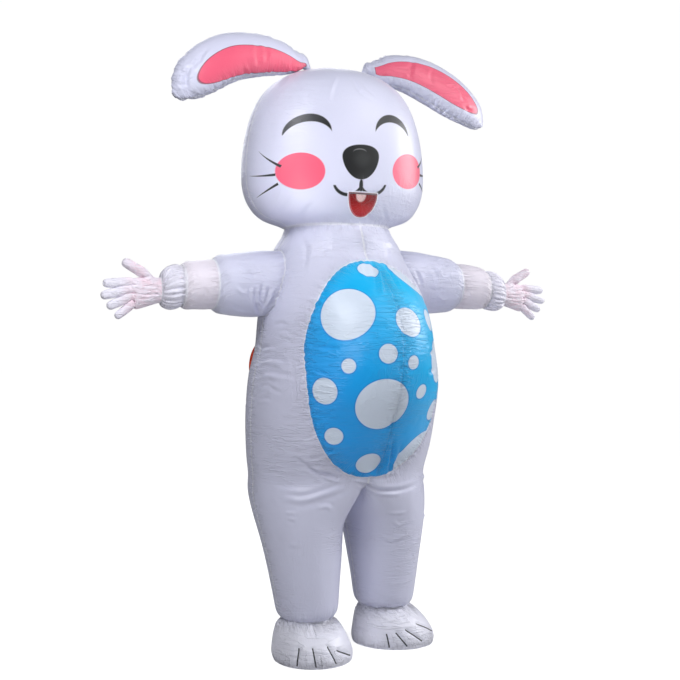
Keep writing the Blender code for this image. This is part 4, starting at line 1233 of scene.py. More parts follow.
CUFF = [
    ArmRing(0.540, 0.043, 1.165, 0.0630, 0.0610),
    ArmRing(0.556, 0.046, 1.162, 0.0665, 0.0635),
    ArmRing(0.582, 0.051, 1.158, 0.0650, 0.0600),
    ArmRing(0.603, 0.055, 1.153, 0.0530, 0.0440),
    ArmRing(0.612, 0.058, 1.150, 0.0380, 0.0280),
]
Seams = namedtuple("Seams", "run along away side lengths links apart groove")
TUCK = 0.008
# Puckers and creases start a little way in, so that an edge keeps to its neighbour's.
PUCKERS_START = 0.005
CREASES_START = 0.008


def turns(count):
    return np.linspace(0, 2 * np.pi, count, endpoint=False)


def arm_ring(ring, hand, count, grow=0.0):
    """Points round an arm, from its top towards its front."""
    angle = turns(count)
    height = arm_level(ring.height, ring.out, hand)
    return np.stack([
        np.full(count, SIDES[hand] * ring.out),
        -ring.forward - (ring.half_depth + grow) * np.sin(angle),
        height + (ring.half_height + grow) * np.cos(angle),
    ], axis=1)


def loft(rings, step):
    """Rows of points on a smooth surface through closed rings, with how far along each row lies."""
    rings = np.array(rings)
    gaps = np.linalg.norm(np.diff(rings, axis=0), axis=2).mean(axis=1)
    stations = np.concatenate([[0.0], np.cumsum(gaps)])
    slopes = np.gradient(rings, stations, axis=0)
    rows = np.linspace(0, stations[-1], max(3, int(stations[-1] / step) + 1))
    k = np.clip(np.searchsorted(stations, rows, side="right") - 1, 0, len(rings) - 2)
    span = (stations[k + 1] - stations[k])[:, None, None]
    t = ((rows - stations[k]) / (stations[k + 1] - stations[k]))[:, None, None]
    grid = (
        rings[k] * (2 * t ** 3 - 3 * t ** 2 + 1) + slopes[k] * span * (t ** 3 - 2 * t ** 2 + t)
        + rings[k + 1] * (3 * t ** 2 - 2 * t ** 3) + slopes[k + 1] * span * (t ** 3 - t ** 2)
    )
    return grid, rows


def grid_faces(rows, columns, closed=True):
    row, column = np.mgrid[0:rows - 1, 0:columns if closed else columns - 1]
    after = (column + 1) % columns
    corners = (row * columns + column, (row + 1) * columns + column,
               (row + 1) * columns + after, row * columns + after)
    return np.stack([corner.ravel() for corner in corners], axis=1)


def cloth_grid(name, grid, closed=True):
    """A sheet of quads through rows of points, facing away from the middle of its rows."""
    rows, columns = grid.shape[:2]
    faces = grid_faces(rows, columns, closed)
    points = grid.reshape(-1, 3)
    a, b, c = points[faces[:, 0]], points[faces[:, 1]], points[faces[:, 2]]
    middle = np.repeat(grid.mean(axis=1), columns if closed else columns - 1, axis=0)[:len(faces)]
    if np.einsum("ij,ij->i", np.cross(b - a, c - a), a - middle).sum() < 0:
        faces = faces[:, ::-1]
    mesh = bpy.data.meshes.new(name)
    mesh.from_pydata(points.tolist(), [], faces.tolist())
    mesh.update()
    return new_object(name, mesh)


def end_seams(grid, rows, links):
    """Where each point of a tube lies from the seams at its two ends."""
    steps = np.linalg.norm(np.roll(grid, -1, axis=1) - grid, axis=2)
    along = np.cumsum(steps, axis=1) - steps[:, :1]
    half = rows[-1] / 2
    last = np.repeat((rows > half).astype(int)[:, None], grid.shape[1], axis=1)
    away = np.repeat(np.minimum(rows, rows[-1] - rows)[:, None], grid.shape[1], axis=1)
    lengths = [steps[0].sum(), steps[-1].sum()]
    last, along, away = last.ravel(), along.ravel(), away.ravel()
    groove = np.array([depth for depth, _ in links])[last] * np.exp(-((away / GROOVE_WIDTH) ** 2))
    held = np.clip(away / PUCKERS_START, 0, 1)
    return Seams(last, along, away, np.ones(len(away)), lengths, links, held, groove)


def settled(grid, seams, rng, creases=(), scale=1.0, more=0.0):
    """A tube's points with its puckers, creases and other folds sunk into it."""
    trial = cloth_grid("trial", grid)
    points, normals = points_of(trial.data), normals_of(trial.data)
    sink = puckered(seams, rng, scale) + more
    if creases:
        held = np.clip(seams.away / CREASES_START, 0, 1)
        sink += creased(points, surface_tree(trial.data), creases) * held
    bpy.data.objects.remove(trial)
    return (points - normals * sink[:, None]).reshape(grid.shape)


def sewn_tube(name, moved, seams, tucks):
    """The tube as an object. An edge with a tuck, a way and a share of its width, is turned in under
    its neighbour, as a seam allowance is."""
    maps = np.stack([seams.along, seams.away, seams.run, seams.apart], axis=1)
    maps = maps.reshape(*moved.shape[:2], 4)
    for end, tuck in zip((0, -1), tucks):
        if tuck:
            middle = moved[end].mean(axis=0)
            edge = (middle + (moved[end] - middle) * tuck[1] + np.array(tuck[0]))[None]
            own = maps[end][None]
            moved = np.concatenate([edge, moved] if end == 0 else [moved, edge])
            maps = np.concatenate([own, maps] if end == 0 else [maps, own])
    piece = cloth_grid(name, moved)
    along, away, run, apart = maps.reshape(-1, 4).T
    keep_seam_map(piece.data, seams._replace(along=along, away=away, run=run, apart=apart))
    return piece


ARM_COLUMNS, ARM_STEP = 200, 0.0036
FORE_COLUMNS, FORE_STEP = 160, 0.0040
CUFF_COLUMNS, CUFF_STEP = 288, 0.0026
SLEEVE_CREASES = {
    "right": seen_from(
        FRONT_RIGHT,
        ([(-.246, 1.166), (-.249, 1.120), (-.240, 1.082)], .0060, .0046),
        ([(-.228, 1.170), (-.234, 1.136), (-.231, 1.098)], .0055, .0034),
        ([(-.205, 1.166), (-.216, 1.130), (-.224, 1.100)], .0060, .0040),
        ([(-.187, 1.144), (-.203, 1.114), (-.222, 1.090)], .0060, .0036),
        ([(-.262, 1.176), (-.266, 1.140), (-.258, 1.110)], .0060, .0020),
        ([(-.302, 1.242), (-.287, 1.233), (-.270, 1.238)], .0055, .0022),
        ([(-.298, 1.224), (-.280, 1.215), (-.262, 1.217)], .0050, .0016),
        ([(-.306, 1.162), (-.288, 1.146), (-.276, 1.142)], .0060, -.0024),
        ([(-.262, 1.240), (-.252, 1.206), (-.256, 1.184)], .0080, .0014),
        ([(-.340, 1.200), (-.330, 1.170), (-.336, 1.140)], .0090, .0016),
        ([(-.318, 1.110), (-.300, 1.096), (-.280, 1.094)], .0060, .0020),
    ) + seen_from(
        BACK_LEFT,
        ([(.250, 1.160), (.248, 1.120), (.236, 1.088)], .0060, .0040),
        ([(.226, 1.172), (.230, 1.136), (.226, 1.100)], .0055, .0032),
        ([(.290, 1.226), (.272, 1.214), (.252, 1.218)], .0055, .0022),
        ([(.316, 1.180), (.296, 1.166), (.280, 1.168)], .0060, .0020),
        ([(.330, 1.130), (.306, 1.118), (.286, 1.122)], .0060, .0018),
    ),
    "left": seen_from(
        FRONT_RIGHT,
        ([(.244, 1.226), (.256, 1.196), (.268, 1.160)], .0060, .0030),
        ([(.262, 1.238), (.278, 1.206), (.286, 1.176)], .0060, .0026),
        ([(.258, 1.150), (.272, 1.128), (.292, 1.108)], .0060, .0034),
        ([(.246, 1.132), (.262, 1.110), (.280, 1.094)], .0060, .0030),
        ([(.320, 1.246), (.334, 1.226), (.338, 1.200)], .0080, .0018),
        ([(.310, 1.176), (.330, 1.166), (.352, 1.170)], .0060, .0016),
        ([(.342, 1.150), (.360, 1.136), (.376, 1.138)], .0065, -.0018),
    ) + seen_from(
        BACK_LEFT,
        ([(-.262, 1.176), (-.262, 1.132), (-.250, 1.104)], .0060, .0038),
        ([(-.240, 1.180), (-.240, 1.140), (-.230, 1.112)], .0055, .0030),
        ([(-.300, 1.232), (-.284, 1.222), (-.266, 1.226)], .0055, .0020),
        ([(-.340, 1.160), (-.318, 1.146), (-.300, 1.150)], .0060, .0020),
    ),
}
FORE_CREASES = {
    "right": seen_from(
        FRONT_RIGHT,
        ([(-.432, 1.215), (-.420, 1.196), (-.424, 1.170)], .0060, .0014),
        ([(-.404, 1.160), (-.392, 1.146), (-.396, 1.126)], .0060, .0014),
        ([(-.448, 1.190), (-.440, 1.160), (-.446, 1.140)], .0070, .0012),
    ),
    "left": seen_from(
        FRONT_RIGHT,
        ([(.410, 1.210), (.420, 1.190), (.416, 1.160)], .0060, .0014),
        ([(.440, 1.170), (.448, 1.150), (.444, 1.130)], .0060, .0014),
    ),
}
sheer_cloth = cloth_material("sheer_satin", (0.90, 0.84, 0.93), (0.94, 0.92, 1.0), wrinkles=1.2)
cuff_cloth = cloth_material("cuff_satin", (0.90, 0.88, 1.00), (0.94, 0.93, 1.0), wrinkles=0.8, crinkles=1.8)


def wrapped(angle):
    """An angle in radians, brought within half a turn of none."""
    return (angle + np.pi) % (2 * np.pi) - np.pi


def cuff_gathers(share, angle):
    """Folds of uneven depth that run from one elastic or the other of a cuff."""
    folds = np.zeros((len(share), angle.shape[1]))
    place = rng.uniform(0, 0.1)
    while place < 2 * np.pi:
        width = rng.uniform(0.045, 0.080)
        deep = rng.uniform(0.0024, 0.0066)
        middle, reach = rng.uniform(0.25, 0.75), rng.uniform(0.42, 0.75)
        drift = rng.uniform(-0.10, 0.10)
        fade = np.exp(-(((share - middle) / reach) ** 2) * 1.6)
        folds += deep * fade * fold(wrapped(angle - place - drift * (share - 0.5)), width)
        place += rng.uniform(0.16, 0.34)
    ends = np.minimum(share, 1 - share)
    folds *= np.clip(ends / 0.16, 0.12, 1)
    return folds + sum(0.0016 * np.exp(-((share - elastic) / 0.035) ** 2) for elastic in (0.05, 0.93))


armhole_rims = {"right": [], "left": []}
for (link, _), numbers in zip(runs, run_numbers):
    if link == ARMHOLE_LINK:
        hand = "left" if skin_points[numbers[0]][0] > 0 else "right"
        armhole_rims[hand].append(skin_points[numbers])

for hand, side in SIDES.items():
    rim = np.concatenate(armhole_rims[hand])
    height = arm_level(ARMHOLE_HEIGHT, ARMHOLE_OUT, hand)
    angle = np.arctan2(-rim[:, 1] / ARMHOLE_HALF_DEPTH, (rim[:, 2] - height) / ARMHOLE_HALF_HEIGHT)
    order = np.argsort(angle % (2 * np.pi))
    known, rim = (angle % (2 * np.pi))[order], rim[order]
    start = np.stack([
        np.interp(turns(ARM_COLUMNS), known, rim[:, axis], period=2 * np.pi) for axis in range(3)
    ], axis=1)
    grid, rows = loft([start] + [arm_ring(ring, hand, ARM_COLUMNS) for ring in SLEEVE], ARM_STEP)
    seams = end_seams(grid, rows, [(0.0, 1.3), (0.0, 0.8)])
    moved = settled(grid, seams, rng, SLEEVE_CREASES[hand])
    inward = (-side * TUCK, 0, 0)
    sleeve = sewn_tube(f"sleeve_{hand}", moved, seams, ((inward, 0.985), None))
    finish_cloth(sleeve, f"sleeve_{hand}", white_cloth, (0.65, 0.24), 0.128, "white_cloth", keep=0.8)

    grid, rows = loft([arm_ring(ring, hand, FORE_COLUMNS) for ring in FORE_SLEEVE], FORE_STEP)
    seams = end_seams(grid, rows, [(0.0, 0.7), (0.0, 1.2)])
    moved = settled(grid, seams, rng, FORE_CREASES[hand])
    fore = sewn_tube(f"fore_sleeve_{hand}", moved, seams, ((inward, 0.96), None))
    finish_cloth(fore, f"fore_sleeve_{hand}", sheer_cloth, (0.49, 0.115), 0.051, "white_cloth")

    grid, rows = loft([arm_ring(ring, hand, CUFF_COLUMNS) for ring in CUFF], CUFF_STEP)
    folds = cuff_gathers((rows / rows[-1])[:, None], turns(CUFF_COLUMNS)[None, :])
    seams = end_seams(grid, rows, [(0.0, 1.0), (0.0, 1.0)])
    moved = settled(grid, seams, rng, scale=0.7, more=folds.ravel())
    cuff = sewn_tube(f"cuff_{hand}", moved, seams, ((inward, 0.97), None))
    finish_cloth(cuff, f"cuff_{hand}", cuff_cloth, (0.58, 0.085), 0.040, "cuff_cloth",
                 keep=0.85)

# ---- Gloves ---------------------------------------------------------------------------------------
# Thin stretch gloves, palms forward and thumbs up, with long soft creases from the hem and between
# the knuckles. Their hems lie inside the cuffs' elastic.
GloveRow = namedtuple("GloveRow", "along half_width half_depth drop")
PALM = [
    GloveRow(0.000, 0.0364, 0.0264, 0.000),
    GloveRow(0.024, 0.0400, 0.0230, 0.002),
    GloveRow(0.050, 0.0440, 0.0205, 0.006),
    GloveRow(0.078, 0.0440, 0.0175, 0.012),
]
Finger = namedtuple("Finger", "name root tip half_thickness")
FINGERS = [
    Finger("index", (0.094, 0.022), (0.170, 0.017), 0.0108),
    Finger("middle", (0.096, 0.001), (0.176, -0.020), 0.0110),
    Finger("ring", (0.090, -0.020), (0.158, -0.052), 0.0105),
    Finger("little", (0.082, -0.040), (0.134, -0.082), 0.0095),
]
THUMB = Finger("thumb", (0.052, 0.050), (0.112, 0.084), 0.0115)
FINGER_RINGS = ((0.0, 1.0), (0.30, 1.00), (0.55, 0.98), (0.80, 0.93), (1.0, 0.66))
GLOVE_START = 0.609
GLOVE_SHRINK = 0.9515
PALM_EDGE = math.radians(18)
HEM = 0.004
HEM_RADIUS = 0.036
HEM_LENGTH = 0.24
BACK_FOLDS_JOG = 0.004
GLOVE_WHITE = (0.88, 0.86, 0.97)
GLOVE_ROSY = (0.90, 0.69, 0.78)
GLOVE_LIGHT = (0.92, 0.89, 0.98)


def glove_cage(hand):
    """A coarse hand: four columns of palm, four fingers and a thumb."""
    cage = bmesh.new()
    wrist = CUFF[-1]
    level = arm_level(wrist.height, wrist.out, hand)

    def place(along, upward, depth):
        return cage.verts.new((SIDES[hand] * (GLOVE_START + along), -wrist.forward - depth, level + upward))

    fronts, backs = [], []
    for row in PALM:
        front_row, back_row = [], []
        for k in range(len(FINGERS) + 1):
            angle = PALM_EDGE + (math.pi - 2 * PALM_EDGE) * k / len(FINGERS)
            upward = row.half_width * math.cos(angle) / GLOVE_SHRINK - row.drop
            depth = row.half_depth * math.sin(angle) / GLOVE_SHRINK
            front_row.append(place(row.along, upward, depth))
            back_row.append(place(row.along, upward, -depth))
        fronts.append(front_row)
        backs.append(back_row)
    for j in range(len(PALM) - 1):
        for k in range(len(FINGERS)):
            cage.faces.new((fronts[j][k], fronts[j + 1][k], fronts[j + 1][k + 1], fronts[j][k + 1]))
            cage.faces.new((backs[j][k], backs[j][k + 1], backs[j + 1][k + 1], backs[j + 1][k]))
        cage.faces.new((fronts[j][-1], fronts[j + 1][-1], backs[j + 1][-1], backs[j][-1]))
        if j != 1:
            cage.faces.new((fronts[j][0], backs[j][0], backs[j + 1][0], fronts[j + 1][0]))

    def grow_finger(finger, ring):
        root, tip = Vector(finger.root), Vector(finger.tip)
        line = (tip - root).normalized()
        across = Vector((-line.y, line.x))
        for share, scale in FINGER_RINGS:
            middle = root.lerp(tip, share)
            half = finger.half_thickness * scale
            corners = []
            for up, out in ((1, 1), (-1, 1), (-1, -1), (1, -1)):
                spot = middle + across * half * up
                corners.append(place(spot.x, spot.y, out * half))
            for k in range(4):
                after = (k + 1) % 4
                cage.faces.new((ring[k], corners[k], corners[after], ring[after]))
            ring = corners
        cage.faces.new(ring)

    for k, finger in enumerate(FINGERS):
        grow_finger(finger, [fronts[-1][k], fronts[-1][k + 1], backs[-1][k + 1], backs[-1][k]])
    grow_finger(THUMB, [fronts[1][0], fronts[2][0], backs[2][0], backs[1][0]])
    bmesh.ops.recalc_face_normals(cage, faces=cage.faces[:])
    return cage


# Long creases on palm and back, as lengths along and across the hand from the wrist's middle.
GLOVE_FOLDS = [
    ((0.010, 0.020), (0.045, 0.026), (0.074, 0.038), .0028, .0022),
    ((0.006, 0.008), (0.046, 0.010), (0.086, 0.016), .0028, .0024),
    ((0.016, -0.002), (0.056, -0.004), (0.092, 0.004), .0026, .0018),
    ((0.004, -0.012), (0.040, -0.016), (0.084, -0.014), .0030, .0024),
    ((0.020, -0.022), (0.052, -0.028), (0.078, -0.032), .0026, .0018),
    ((0.002, -0.028), (0.014, -0.014), (0.034, -0.010), .0032, .0026),
    ((0.000, -0.018), (0.010, -0.006), (0.026, 0.002), .0028, .0022),
    ((0.046, 0.030), (0.060, 0.040), (0.078, 0.050), .0030, .0022),
    ((0.090, 0.012), (0.093, 0.004), (0.090, -0.004), .0026, .0018),
    ((0.086, -0.010), (0.084, -0.018), (0.080, -0.026), .0026, .0018),
    ((0.120, 0.026), (0.122, 0.019), (0.120, 0.012), .0022, .0010),
    ((0.128, 0.000), (0.130, -0.007), (0.126, -0.014), .0022, .0010),
    ((0.116, -0.024), (0.118, -0.032), (0.112, -0.038), .0022, .0010),
    ((0.146, 0.024), (0.148, 0.018), (0.146, 0.012), .0020, .0008),
    ((0.152, -0.006), (0.152, -0.013), (0.149, -0.019), .0020, .0008),
]


def knit_material():
    """A thin, slightly sheer knit with fine ribs, rosier in the palm where it lies on the hand."""
    made, tree, shader = new_material("glove_knit", Sheen_Weight=0.25, Roughness=0.62)
    place = object_place(tree)
    cloud = ramped(noise(place, 26.0, 2.0), 0.35, 0.65)
    folds = noise(scaled(place, (30, 60, 190)), 1.0, 2.0)
    wrists = ramped(size_of(separated(place)[0]), 0.69, 0.75, 1.0, 0.0)
    rosy = times(plus(times(cloud, 0.45), 0.40), wrists)
    colour = mixed(rosy, GLOVE_WHITE, GLOVE_ROSY)
    colour = mixed(ramped(folds, 0.50, 0.62, 0.0, 0.6), colour, GLOVE_LIGHT)
    fill(shader.inputs["Base Color"], colour)
    rib = noise(scaled(place, (900, 900, 240)), 1.0, 0.0)
    small = minus(noise(scaled(place, (22, 40, 75)), 1.0, 1.0), 0.5)
    crumpled = ramped(size_of(small), 0.0, 0.05, 0.0011, 0.0)
    height = plus(times(rib, 0.0002), times(folds, 0.0022))
    height = plus(height, crumpled)
    bumped(shader, height)
    return made


glove_knit = knit_material()
for hand, side in SIDES.items():
    glove = rounded_object(f"glove_{hand}_cloth", glove_cage(hand), 3)
    smoothed = points_of(glove.data)
    wrist = CUFF[-1]
    level = arm_level(wrist.height, wrist.out, hand)
    creases = []
    for *corners, width, depth in GLOVE_FOLDS:
        for turn in (0, 180):
            flip = 1 if turn == 0 else -1
            jog = 0.0 if turn == 0 else BACK_FOLDS_JOG
            creases.append(Crease(turn, [
                (flip * side * (GLOVE_START + a + jog), level - FLOOR + u + jog) for a, u in corners
            ], width, depth))
    away = np.abs(smoothed[:, 0]) - GLOVE_START
    round_hem = np.arctan2(smoothed[:, 1] + wrist.forward, smoothed[:, 2] - level) * HEM_RADIUS
    round_hem = round_hem + HEM_LENGTH / 2
    whole = np.ones(len(smoothed))
    seams = Seams(
        0 * away.astype(int), round_hem, np.abs(away), whole, [HEM_LENGTH], [(0.0, 1.1)], whole, 0 * whole,
    )
    sink = puckered(seams, rng, 0.8) + creased(smoothed, surface_tree(glove.data), creases)
    sink *= np.clip(np.abs(away) / HEM, 0, 1)
    set_points(glove.data, smoothed - normals_of(glove.data) * sink[:, None])
    finish_cloth(glove, f"glove_{hand}", glove_knit, (0.24, 0.185), 0.037, "glove_mesh", keep=0.8)

# ---- Foot covers ----------------------------------------------------------------------------------
# Wide paws of the same satin painted a brighter white as painted light, open underneath and drawn
# in round the ankles on elastic, with four toe lines stitched in dark thread on each.
FootRing = namedtuple("FootRing", "height ahead half_length half_width")
FOOT = [
    FootRing(0.120, 0.000, 0.083, 0.079),
    FootRing(0.108, 0.004, 0.096, 0.096),
    FootRing(0.084, 0.016, 0.115, 0.111),
    FootRing(0.052, 0.027, 0.131, 0.122),
    FootRing(0.018, 0.032, 0.139, 0.128),
    FootRing(0.000, 0.032, 0.136, 0.124),
]
FOOT_SPLAY = {"right": math.radians(12), "left": math.radians(40)}
FOOT_ASIDE = {"right": -0.014, "left": 0.000}
FOOT_COLUMNS, FOOT_STEP = 240, 0.0032
# Each line's turn from the toes' middle at its top and at its foot, and the share of the height.
TOE_LINES = {
    "right": [(29, 35, 0.55, 0.95), (8.6, 7.6, 0.54, 0.95), (-14.5, -23, 0.53, 0.92), (-28, -57, 0.64, 0.86)],
    "left": [(76, 74, 0.63, 0.95), (62, 49, 0.60, 0.92), (46, 24, 0.54, 0.84), (21, -15, 0.44, 0.74)],
}
TOE_LINE_WIDTH = 0.0017
TOE_GROOVE_WIDTH = 0.007
TOE_GROOVE_DEPTH = 0.0040
TOE_RUN_OUT = 0.006
PAW_RADIUS = 0.13
# The body's satin white made brighter for the paws: painted light.
PAW_LIT_WHITE = (0.90, 0.90, 1.00)
TOE_THREAD = (0.004, 0.004, 0.005)
FAR_AWAY = 9.0


def toe_print(tree):
    """Dark lines where the paw's own map of its toe lines says."""
    aside, inside, _ = separated(attribute(tree, "toes").outputs["Vector"])
    line = ramped(size_of(aside), TOE_LINE_WIDTH, TOE_LINE_WIDTH * 1.6, 1.0, 0.0)
    line = times(line, ramped(inside, -0.0005, 0.0005))
    return mixed(line, PAW_LIT_WHITE, TOE_THREAD)


def paw_rings(hand):
    """Rings of points round a paw from its ankle to the floor, turned out from the body."""
    side, splay, ankle = SIDES[hand], FOOT_SPLAY[hand], leg_centre(LEG[-1], hand)
    heading = np.array([side * math.sin(splay), -math.cos(splay), 0])
    across = np.array([heading[1], -heading[0], 0])
    angle = turns(FOOT_COLUMNS)
    rings = []
    for ring in FOOT:
        low = 1 - ring.height / FOOT[0].height
        centre = np.array([ankle.x, ankle.y, FLOOR + ring.height])
        centre = centre + heading * ring.ahead + np.array([side * FOOT_ASIDE[hand] * low, 0, 0])
        rings.append(
            centre + np.cos(angle)[:, None] * heading * ring.half_length
            + np.sin(angle)[:, None] * across * ring.half_width
        )
    return rings


def toe_map(hand, share, turn, drop):
    """How far each point of a paw lies aside from its nearest toe line, and how far from the line's
    ends, for points given as shares of the drop to the floor and turns in degrees."""
    nearest = np.full((len(share), turn.shape[1]), FAR_AWAY)
    inside = np.full(nearest.shape, -1.0)
    for top_turn, low_turn, top, bottom in TOE_LINES[hand]:
        along = np.array([math.radians(low_turn - top_turn) * PAW_RADIUS, (bottom - top) * drop])
        length = np.linalg.norm(along)
        across, down = np.radians(turn - top_turn) * PAW_RADIUS, (share - top) * drop
        far = (across * along[0] + down * along[1]) / length
        aside = (across * along[1] - down * along[0]) / length
        ends = np.minimum(far, length - far)
        closer = np.where(ends > -0.008, np.abs(aside), FAR_AWAY) < np.abs(nearest)
        nearest = np.where(closer, aside, nearest)
        inside = np.where(closer, ends, inside)
    return nearest, inside


def ankle_gathers(share, angle):
    """Folds of uneven depth that run down from the ankle's elastic."""
    folds = np.zeros((len(share), angle.shape[1]))
    place = rng.uniform(0, 0.1)
    while place < 2 * np.pi:
        width = rng.uniform(0.035, 0.075)
        deep = rng.uniform(0.0012, 0.0044)
        reach = rng.uniform(0.16, 0.50)
        drift = rng.uniform(-0.25, 0.25)
        fade = np.clip(1 - share / reach, 0, 1)
        folds += deep * fade * fold(wrapped(angle - place - drift * share), width)
        place += rng.uniform(0.10, 0.26)
    return folds * np.clip(share / 0.04, 0, 1)


paw_satin = cloth_material("paw_satin", printed=toe_print, edge=0.6, crinkles=1.3, wrinkles=1.3)
for hand in SIDES:
    grid, rows = loft(paw_rings(hand), FOOT_STEP)
    share = (rows / rows[-1])[:, None]
    angle = turns(FOOT_COLUMNS)[None, :]
    nearest, inside = toe_map(hand, share, np.degrees(wrapped(angle)), rows[-1])
    fade = np.clip((inside + TOE_RUN_OUT) / (2 * TOE_RUN_OUT), 0, 1)
    groove = TOE_GROOVE_DEPTH * fade * np.exp(-(nearest / TOE_GROOVE_WIDTH) ** 2)
    folds = ankle_gathers(share, angle)
    seams = end_seams(grid, rows, [(0.0, 1.2), (0.0, 0.8)])
    moved = settled(grid, seams, rng, more=(groove + folds).ravel())
    foot = sewn_tube(f"foot_{hand}", moved, seams, (((0, 0, TUCK), 0.93), None))
    toes = foot.data.attributes.new("toes", "FLOAT_VECTOR", "POINT")
    lines = np.stack([nearest, inside, 0 * inside], axis=2)
    lines = np.concatenate([lines[:1], lines]).reshape(-1, 3)
    toes.data.foreach_set("vector", lines.astype(np.float32).ravel())
    finish_cloth(foot, f"foot_{hand}", paw_satin, (0.84, 0.155), 0.100, "white_cloth")

# ---- Ears -----------------------------------------------------------------------------------------
# Two drooping air-filled ears, each of a printed front and a plain back, sewn along the edges with
# gathers, closed in a puffed lobe at the tip and pinched where they join the top of the head.
EarRing = namedtuple("EarRing", "out height half_width half_depth")
EARS = {
    "right": [
        EarRing(0.100, 1.889, 0.014, 0.010), EarRing(0.112, 1.902, 0.024, 0.016),
        EarRing(0.140, 1.900, 0.042, 0.026), EarRing(0.185, 1.907, 0.059, 0.037),
        EarRing(0.240, 1.911, 0.071, 0.046), EarRing(0.305, 1.906, 0.079, 0.052),
        EarRing(0.370, 1.892, 0.083, 0.054), EarRing(0.430, 1.860, 0.082, 0.052),
        EarRing(0.480, 1.820, 0.074, 0.046), EarRing(0.513, 1.787, 0.057, 0.036),
        EarRing(0.533, 1.764, 0.034, 0.021),
    ],
    "left": [
        EarRing(0.100, 1.889, 0.014, 0.010), EarRing(0.112, 1.902, 0.024, 0.016),
        EarRing(0.140, 1.898, 0.042, 0.026), EarRing(0.185, 1.905, 0.058, 0.037),
        EarRing(0.245, 1.906, 0.070, 0.045), EarRing(0.310, 1.894, 0.081, 0.051),
        EarRing(0.375, 1.872, 0.086, 0.053), EarRing(0.435, 1.844, 0.085, 0.051),
        EarRing(0.490, 1.813, 0.073, 0.044), EarRing(0.528, 1.784, 0.056, 0.034),
        EarRing(0.550, 1.760, 0.032, 0.020),
    ],
}
EAR_TIP = {"right": (0.544, 1.752), "left": (0.561, 1.753)}
EAR_LEAN = math.radians(25)
EAR_CLEARANCE = 0.0012
SEAM_GAP = 0.0003
EAR_COLUMNS, EAR_STEP = 168, 0.0042
EAR_ROOT_SHARE = 0.10
EAR_GROOVE = 0.0030
EAR_PRINT_SCALE = 0.045
EAR_CREASES = {
    "right": seen_from(
        FRONT_RIGHT,
        ([(-.248, 1.932), (-.244, 1.890), (-.240, 1.858)], .0080, .0030),
        ([(-.222, 1.934), (-.216, 1.896), (-.220, 1.870)], .0070, .0022),
        ([(-.444, 1.848), (-.462, 1.806), (-.452, 1.756)], .0085, .0060),
        ([(-.420, 1.872), (-.432, 1.848), (-.436, 1.820)], .0065, .0030),
        ([(-.400, 1.900), (-.414, 1.876), (-.420, 1.850)], .0065, .0028),
        ([(-.480, 1.830), (-.468, 1.816), (-.458, 1.812)], .0055, .0030),
        ([(-.486, 1.790), (-.474, 1.782), (-.462, 1.782)], .0055, .0030),
    ) + seen_from(
        BACK_LEFT,
        ([(.240, 1.960), (.236, 1.920), (.242, 1.880)], .0080, .0028),
        ([(.440, 1.870), (.456, 1.830), (.448, 1.780)], .0080, .0050),
    ),
    "left": seen_from(
        FRONT_RIGHT,
        ([(.260, 1.945), (.250, 1.905), (.252, 1.872)], .0080, .0024),
        ([(.330, 1.920), (.322, 1.890), (.326, 1.862)], .0070, .0020),
        ([(.420, 1.870), (.432, 1.850), (.440, 1.828)], .0065, .0026),
        ([(.444, 1.800), (.458, 1.794), (.470, 1.798)], .0065, .0030),
    ) + seen_from(
        BACK_LEFT,
        ([(-.300, 1.950), (-.292, 1.910), (-.298, 1.872)], .0080, .0028),
        ([(-.430, 1.870), (-.446, 1.830), (-.440, 1.790)], .0080, .0040),
    ),
}
# The print: middle and half length along the ear as shares, then, from the lower seam to the upper
# one, its middle and half width at the root and how much both grow towards the tip.
EarPrint = namedtuple("EarPrint", "along half_length middle rise half_width widening root")
EAR_PRINT = {
    "right": EarPrint(0.430, 0.390, 0.215, 0.14, 0.215, 0.00, 0.02),
    "left": EarPrint(0.420, 0.440, 0.400, 0.02, 0.135, 0.10, 0.10),
}


def ear_rings(hand):
    """Rings of points round an ear from its pinched root to its tip, held clear of the head."""
    side, table = SIDES[hand], EARS[hand]
    centres = [Vector((side * ring.out, 0, FLOOR + ring.height)) for ring in table]
    tip = Vector((side * EAR_TIP[hand][0], 0, FLOOR + EAR_TIP[hand][1]))
    angle = turns(EAR_COLUMNS)
    rings = []
    for number, ring in enumerate(table):
        before = centres[number - 1] if number else centres[0] - Vector((0, 0, 0.02))
        after = centres[number + 1] if number + 1 < len(table) else tip
        along = (after - before).normalized()
        upright = Vector((-side * along.z, 0, side * along.x))
        wide = Matrix.Rotation(-side * EAR_LEAN, 3, along) @ upright
        deep = along.cross(wide)
        points = (
            np.array(centres[number])
            + np.cos(angle)[:, None] * np.array(wide) * ring.half_width
            + np.sin(angle)[:, None] * np.array(deep) * ring.half_depth
        )
        for point in points:
            hit = skin_tree.ray_cast(Vector(point) + Vector((0, 0, 1)), Vector((0, 0, -1)))[0]
            if hit:
                point[2] = hit.z + SEAM_GAP if number == 0 else max(point[2], hit.z + EAR_CLEARANCE)
        rings.append(points)
    end, last = np.array(tip), rings[-1]
    rings.append(end + (last - last.mean(axis=0)) * 0.55)
    rings.append(end + (tip - centres[-1]).normalized() * 0.006 + (last - last.mean(axis=0)) * 0.06)
    return rings


def ear_print_map(hand, share, level):
    """Negative inside the print, from the share along the ear and the level across it, -1 to 1."""
    mark = EAR_PRINT[hand]
    rise = np.arccos(-np.clip(level, -1, 1)) / np.pi - mark.middle - mark.rise * share
    field = (
        np.abs((share - mark.along) / mark.half_length) ** 2.6
        + np.abs(rise / (mark.half_width + mark.widening * share)) ** 2.2
    ) ** 0.42 - 1
    return np.maximum(field, (mark.root - share) * 9)


